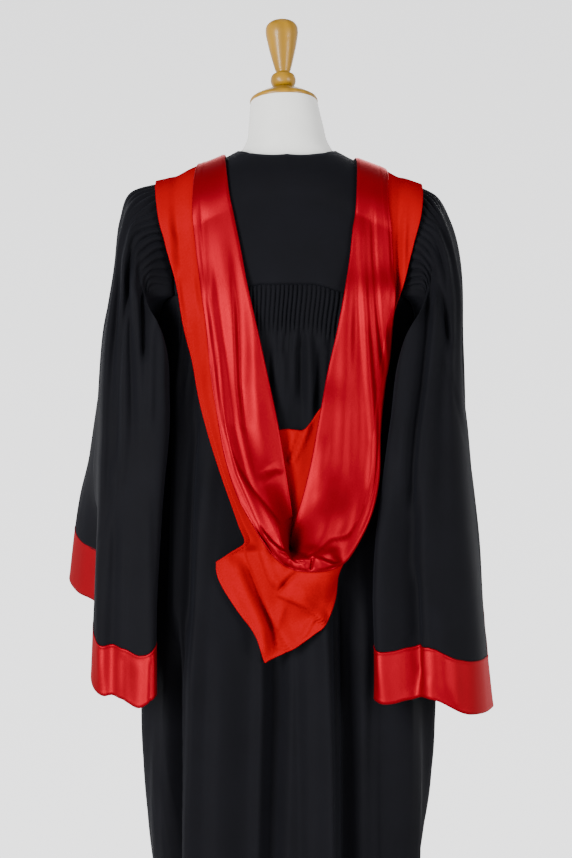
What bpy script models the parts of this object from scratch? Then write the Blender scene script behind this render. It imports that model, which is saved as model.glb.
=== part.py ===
"""Graduation gown with its hood, worn on a limbless dress form.

Metres, +Z up. The origin is on the floor under the middle of the stand's base. The gown's back faces -Y,
and +X is to the right, seen from behind. Cloth is an open surface with Solidify; the dress form is lofted
and its wooden pieces are turned.
"""

import math
from collections import namedtuple

import bmesh
import bpy
import numpy as np
from mathutils import Matrix, Vector
from mathutils.bvhtree import BVHTree

CLOTH = 0.0016
SATIN = 0.0012
SEAM_GAP = 0.0003
SLEEVE_SEAM = 0.0019
ARMHOLE_INSET = 0.0026
CUFF_SEAM = 0.0009
BODY_ROOM = 0.027
LAYER_STEP = 0.0028
LINING_STEP = 0.0022

HEM_Z = 0.270
UNDERARM_Z = 1.205
YOKE_SEAM_Z = 1.2765
YOKE_CORNER_Z = 1.262
FRONT_SEAM_Z = 1.385
FLUTE_BAND = 0.068
BACK_FLUTES = 52
FLUTE_DEPTH = 0.0022
BACK_GATHERS = 17
GATHER_DEPTH = 0.0045
HEAD_FLUTES = 26
HEAD_FLUTE_DEPTH = 0.0022
HEAD_BAND = 0.075
FLUTES_FROM = -0.20
FLUTES_REACH = 0.52
CUFF_START = 0.915
# The first part of a sleeve's length, in which its rings turn from the armhole's shape to their own
SEAM_BLEND = 0.06

# Plan of the gown's body: a rounded curve of this power, half as wide as half_width
PLAN_POWER = 2.6
PLAN_ASPECT = 0.65
BodySection = namedtuple("BodySection", "z half_width back front")
BODY = (
    BodySection(0.270, 0.200, 0.158, 0.140),
    BodySection(0.370, 0.209, 0.158, 0.140),
    BodySection(0.600, 0.230, 0.158, 0.135),
    BodySection(0.800, 0.233, 0.155, 0.130),
    BodySection(0.900, 0.229, 0.153, 0.130),
    BodySection(1.100, 0.212, 0.144, 0.135),
    BodySection(1.205, 0.203, 0.138, 0.138),
    BodySection(1.2755, 0.215, 0.133, 0.140),
    BodySection(1.350, 0.215, 0.125, 0.130),
    BodySection(1.420, 0.215, 0.110, 0.115),
    BodySection(1.520, 0.215, 0.100, 0.105),
)

# Height of the shoulder line over the distance from the middle
RidgePoint = namedtuple("RidgePoint", "x z")
RIDGE = (
    RidgePoint(0.000, 1.5150),
    RidgePoint(0.065, 1.5050),
    RidgePoint(0.080, 1.4995),
    RidgePoint(0.098, 1.4900),
    RidgePoint(0.152, 1.4680),
    RidgePoint(0.196, 1.4440),
    RidgePoint(0.230, 1.4330),
)
ARC_DROP = 0.100
ARC_REACH = 0.105

# The armhole seam: its distance from the middle over the length down from the shoulder line
ArmholePoint = namedtuple("ArmholePoint", "length x")
ARMHOLE = (
    ArmholePoint(0.00, 0.1800),
    ArmholePoint(0.10, 0.1780),
    ArmholePoint(0.26, 0.1750),
)

# Long folds of the skirt. round_top and round_low are cloth distances from the centre back, to the right.
Fold = namedtuple("Fold", "round_top z_top round_low z_low left right height")
BACK_FOLDS = (
    Fold(-0.168, 1.190, -0.190, 0.60, 0.020, 0.018, 0.010),
    Fold(-0.122, 1.180, -0.136, 0.60, 0.020, 0.090, 0.020),
    Fold(-0.020, 1.200, -0.030, 0.62, 0.030, 0.034, 0.008),
    Fold(0.034, 1.200, 0.060, 0.60, 0.048, 0.018, 0.018),
    Fold(0.105, 1.180, 0.120, 0.55, 0.022, 0.030, 0.007),
    Fold(0.150, 1.160, 0.186, 0.58, 0.050, 0.040, 0.012),
    Fold(-0.225, 1.080, -0.262, 0.50, 0.034, 0.030, 0.007),
    Fold(0.232, 1.080, 0.272, 0.52, 0.030, 0.034, 0.009),
)
FRONT_FOLDS = (
    Fold(0.030, 1.370, 0.052, 0.60, 0.026, 0.040, 0.009),
    Fold(0.088, 1.370, 0.124, 0.58, 0.030, 0.026, 0.013),
    Fold(0.130, 1.300, 0.196, 0.52, 0.040, 0.034, 0.011),
)

# Where the open front edges hang, from the middle
FrontEdge = namedtuple("FrontEdge", "z x")
FRONT_EDGE = (
    FrontEdge(0.270, 0.046),
    FrontEdge(0.600, 0.052),
    FrontEdge(0.900, 0.060),
    FrontEdge(1.200, 0.068),
    FrontEdge(1.400, 0.064),
)

# Neck hole of the yoke: length down from the shoulder line over the distance from the middle
NeckPoint = namedtuple("NeckPoint", "length x")
NECK_EDGE = (
    NeckPoint(-0.120, 0.064),
    NeckPoint(-0.060, 0.074),
    NeckPoint(0.000, 0.0800),
    NeckPoint(0.040, 0.0740),
    NeckPoint(0.064, 0.0600),
)
NECK_BACK_LENGTH = 0.0832
# Where the yoke's back meets its flaps at the armhole, its columns out to each side, and its rows
YOKE_TURN_LENGTH = 0.075
NECK_COLUMNS = 8
YOKE_COLUMNS = 15
YOKE_LEVELS = (0.0, 0.30, 0.58, 0.82, 1.0)
YOKE_DOWNS = (0.09, 0.18, 0.27, 0.35, 0.43, 0.51, 0.61, 0.77, 1.0)

# Places round a sleeve, as parts of its girth from the outermost line by way of the back
SLEEVE_PLACES = (0.0, 0.055, 0.11, 0.19, 0.27, 0.50, 0.75, 0.88)
SleeveRing = namedtuple("SleeveRing", "along outer outer_fold outer_back back edge body front outer_front")
RIGHT_SLEEVE = (
    SleeveRing(0.035, (0.211, 0.000, 1.4420), (0.209, -0.038, 1.434), (0.205, -0.074, 1.412),
               (0.202, -0.101, 1.358), (0.207, -0.116, 1.300), (0.217, 0.000, 1.190),
               (0.200, 0.110, 1.335), (0.205, 0.078, 1.408)),
    SleeveRing(0.070, (0.237, 0.000, 1.4290), (0.235, -0.044, 1.418), (0.229, -0.084, 1.392),
               (0.224, -0.112, 1.340), (0.217, -0.126, 1.276), (0.223, 0.000, 1.170),
               (0.218, 0.122, 1.315), (0.229, 0.086, 1.388)),
    SleeveRing(0.125, (0.261, 0.000, 1.3860), (0.258, -0.052, 1.373), (0.250, -0.100, 1.346),
               (0.238, -0.132, 1.298), (0.207, -0.147, 1.240), (0.226, 0.000, 1.142),
               (0.230, 0.130, 1.280), (0.252, 0.090, 1.345)),
    SleeveRing(0.200, (0.277, 0.000, 1.3250), (0.272, -0.060, 1.309), (0.262, -0.116, 1.280),
               (0.235, -0.150, 1.245), (0.184, -0.158, 1.196), (0.227, 0.000, 1.100),
               (0.240, 0.132, 1.220), (0.268, 0.090, 1.280)),
    SleeveRing(0.340, (0.282, 0.000, 1.1970), (0.276, -0.072, 1.179), (0.262, -0.138, 1.148),
               (0.222, -0.174, 1.118), (0.166, -0.174, 1.082), (0.230, 0.000, 1.020),
               (0.252, 0.130, 1.112), (0.278, 0.088, 1.156)),
    SleeveRing(0.630, (0.302, 0.000, 0.9400), (0.293, -0.086, 0.926), (0.272, -0.164, 0.906),
               (0.212, -0.205, 0.888), (0.142, -0.192, 0.878), (0.252, 0.000, 0.862),
               (0.272, 0.120, 0.958), (0.299, 0.080, 0.952)),
    SleeveRing(0.915, (0.323, 0.000, 0.6960), (0.313, -0.088, 0.697), (0.290, -0.168, 0.700),
               (0.220, -0.216, 0.706), (0.141, -0.200, 0.720), (0.260, 0.000, 0.760),
               (0.290, 0.100, 0.868), (0.318, 0.068, 0.800)),
    SleeveRing(1.000, (0.331, 0.000, 0.6180), (0.320, -0.088, 0.619), (0.294, -0.168, 0.622),
               (0.224, -0.217, 0.630), (0.141, -0.202, 0.643), (0.262, 0.000, 0.684),
               (0.292, 0.098, 0.792), (0.322, 0.066, 0.722)),
)
LEFT_SLEEVE = (
    SleeveRing(0.035, (0.214, 0.000, 1.4430), (0.212, -0.038, 1.435), (0.206, -0.074, 1.413),
               (0.202, -0.101, 1.358), (0.207, -0.116, 1.300), (0.217, 0.000, 1.190),
               (0.200, 0.110, 1.335), (0.206, 0.078, 1.409)),
    SleeveRing(0.070, (0.248, 0.000, 1.4330), (0.246, -0.044, 1.422), (0.238, -0.084, 1.395),
               (0.230, -0.112, 1.342), (0.219, -0.126, 1.280), (0.223, 0.000, 1.170),
               (0.222, 0.122, 1.318), (0.238, 0.086, 1.391)),
    SleeveRing(0.125, (0.266, 0.000, 1.3900), (0.264, -0.051, 1.378), (0.256, -0.098, 1.348),
               (0.241, -0.128, 1.300), (0.214, -0.140, 1.246), (0.226, 0.000, 1.147),
               (0.232, 0.128, 1.282), (0.257, 0.088, 1.348)),
    SleeveRing(0.200, (0.275, 0.000, 1.3200), (0.272, -0.056, 1.306), (0.264, -0.108, 1.276),
               (0.238, -0.140, 1.244), (0.196, -0.148, 1.208), (0.226, 0.000, 1.108),
               (0.240, 0.128, 1.228), (0.270, 0.088, 1.284)),
    SleeveRing(0.340, (0.292, 0.000, 1.2050), (0.288, -0.062, 1.190), (0.276, -0.118, 1.158),
               (0.238, -0.152, 1.140), (0.190, -0.162, 1.118), (0.222, 0.000, 1.050),
               (0.258, 0.130, 1.148), (0.290, 0.088, 1.186)),
    SleeveRing(0.630, (0.318, 0.008, 1.0000), (0.298, -0.055, 0.966), (0.288, -0.122, 0.936),
               (0.246, -0.158, 0.920), (0.199, -0.173, 0.918), (0.244, 0.000, 0.925),
               (0.294, 0.126, 1.010), (0.320, 0.080, 1.020)),
    SleeveRing(0.915, (0.334, 0.028, 0.8680), (0.291, -0.032, 0.840), (0.300, -0.116, 0.745),
               (0.248, -0.160, 0.716), (0.205, -0.174, 0.722), (0.262, 0.000, 0.776),
               (0.320, 0.120, 0.908), (0.346, 0.080, 0.902)),
    SleeveRing(1.000, (0.341, 0.030, 0.7880), (0.296, -0.030, 0.762), (0.303, -0.115, 0.669),
               (0.248, -0.161, 0.640), (0.205, -0.175, 0.648), (0.263, 0.000, 0.700),
               (0.326, 0.120, 0.832), (0.356, 0.080, 0.820)),
)
# Troughs down a sleeve: place round it and part of its length at both ends, half width in girths, depth.
# At the hem a trough also rises, by HEM_LIFT times its depth.
HEM_LIFT = 0.35
Trough = namedtuple("Trough", "place_top along_top place_low along_low half_width depth")
RIGHT_TROUGHS = (
    Trough(0.150, 0.10, 0.175, 0.62, 0.030, 0.010),
    Trough(0.228, 0.45, 0.232, 1.15, 0.034, 0.026),
    Trough(0.080, 0.11, 0.060, 0.40, 0.022, 0.007),
    Trough(0.800, 0.12, 0.830, 0.70, 0.030, 0.009),
    Trough(0.930, 0.12, 0.950, 0.85, 0.026, 0.006),
)
LEFT_TROUGHS = (
    Trough(0.110, 0.10, 0.140, 0.60, 0.026, 0.009),
    Trough(0.165, 0.55, 0.168, 1.15, 0.022, 0.008),
    Trough(0.180, 0.12, 0.200, 0.44, 0.020, 0.008),
    Trough(0.800, 0.12, 0.830, 0.70, 0.030, 0.009),
    Trough(0.940, 0.14, 0.960, 0.80, 0.026, 0.006),
)

# The hood from its front end, over the left shoulder, down the back and up over the right shoulder.
# Each row crosses its strip: the free edge, the rim where the satin starts, and the satin's inner edge.
# Front rows are on the chest. The three out columns stand those lines off the gown, and steps is the
# number of cells to the next row.
HoodRow = namedtuple(
    "HoodRow", "side edge_x edge_z rim_x rim_z inner_x inner_z edge_out rim_out inner_out steps"
)
HOOD = (
    HoodRow("front", -0.0040, 1.268, -0.0040, 1.296, -0.0040, 1.335, 0.0028, 0.004, 0.004, 2),
    HoodRow("front", -0.0720, 1.315, -0.0480, 1.345, -0.0360, 1.378, 0.0028, 0.004, 0.004, 2),
    HoodRow("front", -0.1420, 1.378, -0.0980, 1.405, -0.0690, 1.428, 0.0028, 0.004, 0.004, 2),
    HoodRow("front", -0.1900, 1.425, -0.1320, 1.455, -0.0900, 1.478, 0.0050, 0.004, 0.004, 3),
    HoodRow("back", -0.2050, 1.444, -0.1400, 1.470, -0.0970, 1.489, 0.0050, 0.004, 0.004, 3),
    HoodRow("back", -0.2000, 1.388, -0.1470, 1.402, -0.0905, 1.428, 0.0050, 0.005, 0.004, 3),
    HoodRow("back", -0.1900, 1.345, -0.1420, 1.340, -0.0815, 1.381, 0.0050, 0.006, 0.005, 1),
    HoodRow("back", -0.1770, 1.292, -0.1340, 1.283, -0.0720, 1.335, 0.0028, 0.008, 0.006, 1),
    HoodRow("back", -0.1640, 1.216, -0.1250, 1.221, -0.0595, 1.270, 0.0028, 0.010, 0.008, 1),
    HoodRow("back", -0.1490, 1.160, -0.1150, 1.137, -0.0425, 1.195, 0.0028, 0.014, 0.010, 1),
    HoodRow("back", -0.1360, 1.100, -0.1035, 1.071, -0.0270, 1.124, 0.0028, 0.022, 0.012, 1),
    HoodRow("back", -0.1130, 1.022, -0.0900, 1.004, -0.0120, 1.052, 0.0028, 0.032, 0.014, 2),
    HoodRow("back", -0.0930, 0.962, -0.0705, 0.947, -0.0015, 0.989, 0.0028, 0.044, 0.014, 2),
    HoodRow("back", -0.0740, 0.908, -0.0425, 0.897, 0.0075, 0.928, 0.0028, 0.056, 0.013, 1),
    HoodRow("back", -0.0640, 0.884, -0.0360, 0.886, 0.0070, 0.919, 0.007, 0.058, 0.013, 1),
    HoodRow("back", -0.0720, 0.874, -0.0300, 0.877, 0.0062, 0.909, 0.007, 0.059, 0.013, 1),
    HoodRow("back", -0.1020, 0.8545, -0.0235, 0.868, 0.0054, 0.899, 0.007, 0.061, 0.013, 1),
    HoodRow("back", -0.1057, 0.850, -0.0175, 0.861, 0.0048, 0.893, 0.007, 0.062, 0.013, 1),
    HoodRow("back", -0.1020, 0.825, -0.0110, 0.855, 0.0042, 0.888, 0.007, 0.062, 0.013, 1),
    HoodRow("back", -0.0765, 0.781, -0.0030, 0.849, 0.0034, 0.882, 0.007, 0.063, 0.013, 1),
    HoodRow("back", -0.0470, 0.740, 0.0050, 0.8455, 0.0024, 0.877, 0.007, 0.064, 0.013, 1),
    HoodRow("back", -0.0360, 0.705, 0.0125, 0.843, 0.0015, 0.874, 0.007, 0.064, 0.013, 1),
    HoodRow("back", -0.0330, 0.699, 0.0190, 0.842, 0.0010, 0.873, 0.007, 0.064, 0.013, 1),
    HoodRow("back", -0.0270, 0.703, 0.0250, 0.8415, 0.0012, 0.8735, 0.007, 0.064, 0.013, 1),
    HoodRow("back", 0.0060, 0.719, 0.0370, 0.841, 0.0016, 0.875, 0.007, 0.063, 0.013, 1),
    HoodRow("back", 0.0420, 0.745, 0.0510, 0.842, 0.0023, 0.878, 0.007, 0.063, 0.013, 1),
    HoodRow("back", 0.0570, 0.759, 0.0610, 0.844, 0.0030, 0.880, 0.007, 0.062, 0.013, 1),
    HoodRow("back", 0.0720, 0.798, 0.0760, 0.850, 0.0068, 0.893, 0.007, 0.060, 0.013, 1),
    HoodRow("back", 0.0800, 0.850, 0.0900, 0.862, 0.0120, 0.913, 0.007, 0.056, 0.013, 2),
    HoodRow("back", 0.1020, 0.920, 0.1190, 0.918, 0.0245, 0.955, 0.0028, 0.046, 0.014, 2),
    HoodRow("back", 0.1160, 0.980, 0.1345, 0.978, 0.0360, 1.004, 0.0028, 0.036, 0.014, 2),
    HoodRow("back", 0.1220, 1.052, 0.1400, 1.052, 0.0480, 1.069, 0.0028, 0.028, 0.013, 1),
    HoodRow("back", 0.1360, 1.120, 0.1495, 1.121, 0.0620, 1.143, 0.0028, 0.021, 0.011, 1),
    HoodRow("back", 0.1540, 1.175, 0.1600, 1.174, 0.0760, 1.204, 0.0028, 0.015, 0.009, 1),
    HoodRow("back", 0.1740, 1.250, 0.1660, 1.250, 0.0890, 1.273, 0.0028, 0.010, 0.008, 1),
    HoodRow("back", 0.1860, 1.299, 0.1660, 1.309, 0.0960, 1.316, 0.0050, 0.008, 0.006, 1),
    HoodRow("back", 0.1970, 1.344, 0.1625, 1.366, 0.1010, 1.361, 0.0050, 0.006, 0.005, 3),
    HoodRow("back", 0.2080, 1.398, 0.1570, 1.417, 0.1070, 1.407, 0.0050, 0.005, 0.004, 3),
    HoodRow("back", 0.2110, 1.442, 0.1550, 1.466, 0.1080, 1.485, 0.0050, 0.004, 0.004, 3),
    HoodRow("front", 0.1900, 1.425, 0.1380, 1.450, 0.0940, 1.476, 0.0050, 0.004, 0.004, 2),
    HoodRow("front", 0.1420, 1.378, 0.0980, 1.405, 0.0690, 1.428, 0.0028, 0.004, 0.004, 2),
    HoodRow("front", 0.0720, 1.315, 0.0480, 1.345, 0.0360, 1.378, 0.0028, 0.004, 0.004, 2),
    HoodRow("front", 0.0040, 1.268, 0.0040, 1.296, 0.0040, 1.335, 0.0028, 0.004, 0.004, 2),
)
HOOD_HALF_WIDTH = 0.300
RIM_TUCK = 0.001

# The layer of the hood that shows inside the cowl: left and right edges over height. Its top edge
# rises on the right by HOOD_BACK_RISE.
HOOD_BACK_RISE = 0.044
HoodBackRow = namedtuple("HoodBackRow", "z left right")
HOOD_BACK = (
    HoodBackRow(1.054, -0.060, 0.095),
    HoodBackRow(0.990, -0.052, 0.092),
    HoodBackRow(0.930, -0.032, 0.080),
    HoodBackRow(0.880, -0.010, 0.056),
)

# The dress form: sections from its flat underside to the top of its neck. lean tilts a section forward.
FormSection = namedtuple("FormSection", "z half_width back front shift_x shift_y lean")
FORM_POWER = 2.2
FORM = (
    FormSection(0.740, 0.146, 0.098, 0.102, 0.0, 0.0, 0.0),
    FormSection(0.760, 0.160, 0.108, 0.114, 0.0, 0.0, 0.0),
    FormSection(0.800, 0.168, 0.112, 0.118, 0.0, 0.0, 0.0),
    FormSection(0.860, 0.168, 0.112, 0.116, 0.0, 0.0, 0.0),
    FormSection(0.940, 0.150, 0.100, 0.103, 0.0, 0.0, 0.0),
    FormSection(1.020, 0.130, 0.090, 0.093, 0.0, 0.0, 0.0),
    FormSection(1.100, 0.134, 0.094, 0.104, 0.0, 0.0, 0.0),
    FormSection(1.190, 0.148, 0.102, 0.121, 0.0, 0.0, 0.0),
    FormSection(1.270, 0.160, 0.106, 0.121, 0.0, 0.0, 0.0),
    FormSection(1.340, 0.170, 0.104, 0.110, 0.0, 0.0, 0.0),
    FormSection(1.395, 0.175, 0.098, 0.100, 0.0, 0.0, 0.0),
    FormSection(1.428, 0.174, 0.090, 0.092, 0.0, 0.0, 0.0),
    FormSection(1.4498, 0.1680, 0.084, 0.086, 0.0, 0.0, 0.0),
    FormSection(1.4654, 0.1490, 0.076, 0.078, 0.0, 0.0, 0.0),
    FormSection(1.4780, 0.1200, 0.070, 0.073, 0.0, 0.0, 0.0),
    FormSection(1.4880, 0.0965, 0.067, 0.071, 0.0, 0.0, 0.0),
    FormSection(1.4978, 0.0785, 0.065, 0.068, 0.0, 0.001, 0.0),
    FormSection(1.512, 0.0680, 0.065, 0.066, 0.0, 0.003, 0.0),
    FormSection(1.545, 0.0600, 0.059, 0.059, -0.002, 0.006, 0.08),
    FormSection(1.580, 0.0545, 0.0545, 0.0545, -0.005, 0.010, 0.16),
)

# Turned wood, as profiles of radius and height from top to bottom
ProfilePoint = namedtuple("ProfilePoint", "radius z")
CAP_PROFILE = (
    ProfilePoint(0.0000, 0.0270),
    ProfilePoint(0.0120, 0.0262),
    ProfilePoint(0.0260, 0.0228),
    ProfilePoint(0.0400, 0.0168),
    ProfilePoint(0.0500, 0.0108),
    ProfilePoint(0.0545, 0.0070),
    ProfilePoint(0.0552, 0.0036),
    ProfilePoint(0.0540, 0.0003),
    ProfilePoint(0.0000, 0.0003),
)
FINIAL_PROFILE = (
    ProfilePoint(0.0000, 0.1420),
    ProfilePoint(0.0130, 0.1406),
    ProfilePoint(0.0215, 0.1368),
    ProfilePoint(0.0258, 0.1310),
    ProfilePoint(0.0266, 0.1240),
    ProfilePoint(0.0238, 0.1040),
    ProfilePoint(0.0180, 0.0780),
    ProfilePoint(0.0130, 0.0590),
    ProfilePoint(0.0112, 0.0525),
    ProfilePoint(0.0180, 0.0488),
    ProfilePoint(0.0204, 0.0420),
    ProfilePoint(0.0196, 0.0350),
    ProfilePoint(0.0150, 0.0290),
    ProfilePoint(0.0090, 0.0274),
    ProfilePoint(0.0000, 0.0274),
)
CAP_SEAT = Vector((-0.005, 0.010, 1.5798))
CAP_LEAN = math.atan(0.16)
CAP_SIDE_LEAN = math.radians(-1.5)
BASE_PROFILE = (
    ProfilePoint(0.0000, 0.0250),
    ProfilePoint(0.1640, 0.0250),
    ProfilePoint(0.1740, 0.0222),
    ProfilePoint(0.1790, 0.0160),
    ProfilePoint(0.1800, 0.0100),
    ProfilePoint(0.1780, 0.0000),
    ProfilePoint(0.0000, 0.0000),
)
POLE_RADIUS = 0.0150

BLACK = (0.012, 0.013, 0.017)
RED = (0.760, 0.012, 0.008)
SATIN_RED = (0.640, 0.018, 0.018)
JERSEY = (0.640, 0.640, 0.610)
WOOD = (0.560, 0.340, 0.160)


class Track:
    """A smooth path through a table: each row is its key and then its values."""

    def __init__(self, rows):
        ordered = sorted(rows, key=lambda row: row[0])
        self.keys = [row[0] for row in ordered]
        self.values = [np.array(row[1:], dtype=float) for row in ordered]
        steps = [b - a for a, b in zip(self.keys, self.keys[1:])]
        rates = [(b - a) / step for a, b, step in zip(self.values, self.values[1:], steps)]
        self.slopes = [rates[0]]
        for before, after, step, next_step in zip(rates, rates[1:], steps, steps[1:]):
            self.slopes.append((before * next_step + after * step) / (step + next_step))
        self.slopes.append(rates[-1])

    def at(self, key):
        key = min(max(key, self.keys[0]), self.keys[-1])
        last = len(self.keys) - 2
        index = min(max(int(np.searchsorted(self.keys, key)) - 1, 0), last)
        step = self.keys[index + 1] - self.keys[index]
        t = (key - self.keys[index]) / step
        start = self.values[index] * (2 * t**3 - 3 * t**2 + 1)
        start += self.slopes[index] * step * (t**3 - 2 * t**2 + t)
        end = self.values[index + 1] * (3 * t**2 - 2 * t**3)
        end += self.slopes[index + 1] * step * (t**3 - t**2)
        return start + end


def ease(low, high, value):
    """0 below low, 1 above high, and a smooth change between."""
    t = min(max((value - low) / (high - low), 0.0), 1.0)
    return t * t * (3 - 2 * t)


def mix(a, b, t):
    return a + (b - a) * t


body_track = Track(BODY)
ridge_track = Track(RIDGE)
armhole_track = Track(ARMHOLE)
front_edge_track = Track(FRONT_EDGE)
neck_track = Track(NECK_EDGE)


def plan_arc():
    """Angles along a quarter of the plan curve, their parts of its length, and that length for width 1."""
    steps = 400
    angles = [i / steps * math.pi / 2 for i in range(steps + 1)]
    power = 2 / PLAN_POWER
    points = [(math.sin(a) ** power, PLAN_ASPECT * max(math.cos(a), 0.0) ** power) for a in angles]
    lengths = [0.0]
    for a, b in zip(points, points[1:]):
        lengths.append(lengths[-1] + math.dist(a, b))
    return np.array(angles), np.array(lengths) / lengths[-1], lengths[-1]


ARC_ANGLES, ARC_PARTS, QUARTER = plan_arc()


def plan_point(turn, z):
    """x and depth at a quarter turn of 0 (middle) to 1 (side seam), either way, on the body at height z."""
    half_width, back, front = body_track.at(z)
    angle = float(np.interp(abs(turn), ARC_PARTS, ARC_ANGLES))
    power = 2 / PLAN_POWER
    x = math.copysign(half_width * math.sin(angle) ** power, turn)
    return x, max(math.cos(angle), 0.0) ** power, back, front


def turn_of_x(x, z):
    """The quarter turn at which the body at height z is x from the middle."""
    half_width = body_track.at(z)[0]
    share = min(abs(x) / half_width, 1.0)
    angle = math.asin(min(share ** (PLAN_POWER / 2), 1.0))
    return float(np.interp(angle, ARC_ANGLES, ARC_PARTS))


def body_point(turn, z, back_side=True):
    """A point on the body's surface, which rounds over towards the shoulder line near its top."""
    x, depth_share, back, front = plan_point(turn, z)
    top = ridge_track.at(abs(x))[0]
    if z > top - ARC_DROP:
        arc_back, arc_front = body_track.at(top - ARC_DROP)[1:3]
        rise = min((z - top + ARC_DROP) / ARC_DROP, 1.0)
        flat = math.sqrt(1 - rise * rise)
        back, front = arc_back * flat, arc_front * flat
    return Vector((x, -back * depth_share if back_side else front * depth_share, z))


def drape_point(x, length, half_width=None):
    """A point at x and a length down from the shoulder line: positive on the back, negative on the front."""
    top = ridge_track.at(abs(x))[0]
    turn = min(abs(length) / ARC_REACH, math.pi / 2)
    drop = ARC_DROP * (1 - math.cos(turn)) + max(0.0, abs(length) - ARC_REACH * math.pi / 2)
    z = top - drop
    section = body_track.at(min(z, top - ARC_DROP))
    share = max(1 - (abs(x) / (half_width or section[0])) ** PLAN_POWER, 0.0) ** (1 / PLAN_POWER)
    depth = (section[1] if length >= 0 else section[2]) * share * math.sin(turn)
    return Vector((x, math.copysign(depth, -length), z))


def length_at(x, z):
    """The length down from the shoulder line to height z."""
    drop = max(ridge_track.at(abs(x))[0] - z, 0.0)
    if drop < ARC_DROP:
        return ARC_REACH * math.acos(1 - drop / ARC_DROP)
    return ARC_REACH * math.pi / 2 + drop - ARC_DROP


def armhole_drop(turn, corner):
    """Height of the armhole seam between the yoke's corner and the underarm."""
    t = (abs(turn) - corner) / (1 - corner)
    return mix(YOKE_CORNER_Z, UNDERARM_Z, ease(0.0, 1.0, t))


CORNER_X = armhole_track.at(length_at(0.175, YOKE_CORNER_Z))[0]
CORNER_TURN = turn_of_x(CORNER_X, YOKE_CORNER_Z)


def armhole_path():
    """The right side's closed armhole seam, from the shoulder line by way of the back, with its lengths."""
    corner_length = length_at(CORNER_X, YOKE_CORNER_Z)
    down = [corner_length * i / 30 for i in range(31)]
    turns = [mix(CORNER_TURN, 1.0, i / 16) for i in range(1, 17)]
    back = [drape_point(armhole_track.at(v)[0], v) for v in down]
    back += [body_point(t, armhole_drop(t, CORNER_TURN)) for t in turns]
    front = [drape_point(armhole_track.at(v)[0], -v) for v in down]
    front += [body_point(t, armhole_drop(t, CORNER_TURN), False) for t in turns[:-1]]
    points = back + front[::-1]
    lengths = [0.0]
    for a, b in zip(points, points[1:]):
        lengths.append(lengths[-1] + (b - a).length)
    return points, np.array(lengths) / lengths[-1]


ARMHOLE_POINTS, ARMHOLE_PARTS = armhole_path()


def armhole_point(place):
    """The armhole seam at a part of its girth."""
    columns = zip(*ARMHOLE_POINTS)
    return Vector([float(np.interp(place % 1.0, ARMHOLE_PARTS, column)) for column in columns])


def fold_height(folds, around, z):
    """How far the folds raise the cloth at a distance round from the middle and a height."""
    height = 0.0
    for fold in folds:
        t = (fold.z_top - z) / (fold.z_top - fold.z_low)
        if t <= 0:
            continue
        centre = mix(fold.round_top, fold.round_low, min(t, 1.25))
        away = around - centre
        reach = fold.left if away < 0 else fold.right
        if abs(away) < reach:
            height += fold.height * ease(0.0, 0.7, t) * 0.5 * (1 + math.cos(math.pi * away / reach))
    return height


def surface_normal(at, u, v, step=0.002):
    """The outward normal of a surface at(u, v)."""
    across = at(u + step, v) - at(u - step, v)
    along = at(u, v + step) - at(u, v - step)
    return across.cross(along).normalized()


class Sheet:
    """A cloth surface: rows of points, where a row may have half the cells of the row above."""

    def __init__(self, rows, closed=False):
        self.points = [point for row in rows for point in row]
        self.faces = []
        start = 0
        for row, below in zip(rows, rows[1:]):
            self.faces += join_rows(start, len(row), start + len(row), len(below), closed)
            start += len(row)


def join_rows(first, count, second, below_count, closed):
    """Faces between two rows of points, which have like counts or twice as many cells in the first."""
    cells = below_count if closed else below_count - 1
    faces = []
    for i in range(cells):
        low, low_next = second + i, second + (i + 1) % below_count
        if count == below_count:
            faces.append((first + i, low, low_next, first + (i + 1) % count))
        else:
            a, b, c = first + 2 * i, first + 2 * i + 1, first + (2 * i + 2) % count
            faces += [(a, low, b), (b, low, low_next), (b, low_next, c)]
    return faces


class Support:
    """The cloth that lies under the hood, measured along a ray."""

    def __init__(self, sheets):
        points = []
        faces = []
        for sheet in sheets:
            faces += [tuple(i + len(points) for i in face) for face in sheet.faces]
            points += sheet.points
        self.tree = BVHTree.FromPolygons(points, faces)

    def height(self, base, normal, reach=0.14):
        """How far the support stands off the base point, along its normal."""
        hit = self.tree.ray_cast(base + normal * reach, -normal, 2 * reach)
        return reach - hit[3] if hit[0] is not None else None


def yoke_back_place(step, level):
    """Place on the yoke's back: step counts columns from the middle, level goes from its seam to its top."""
    count = abs(step)
    low_x = CORNER_X * count / YOKE_COLUMNS
    low = length_at(low_x, yoke_seam_z(low_x) + SEAM_GAP)
    if count == YOKE_COLUMNS:
        length = mix(low, YOKE_TURN_LENGTH, level)
        return math.copysign(armhole_track.at(length)[0], step), length
    neck_x, neck_length = NECK_EDGE[-1].x, NECK_EDGE[-1].length
    if count <= NECK_COLUMNS:
        share = count / NECK_COLUMNS
        high_x, high = neck_x * share, mix(NECK_BACK_LENGTH, neck_length, share**2.5)
    else:
        share = (count - NECK_COLUMNS) / (YOKE_COLUMNS - NECK_COLUMNS)
        high = mix(neck_length, YOKE_TURN_LENGTH, share)
        high_x = mix(neck_x, armhole_track.at(high)[0], share)
    return math.copysign(mix(low_x, high_x, level), step), mix(low, high, level)


def yoke_flap_place(side, share, down):
    """Place on a flap over a shoulder: share goes from the neck to the armhole, down from back to front."""
    front_seam = FRONT_SEAM_Z + SEAM_GAP / 2
    inner = mix(NECK_EDGE[-1].length, -length_at(NECK_EDGE[0].x, front_seam), down)
    outer = mix(YOKE_TURN_LENGTH, -length_at(CORNER_X, front_seam), down)
    x = mix(neck_track.at(inner)[0], armhole_track.at(abs(outer))[0], share)
    length = mix(inner, outer, share) if down < 1 else -length_at(x, front_seam)
    return side * x, length


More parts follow.
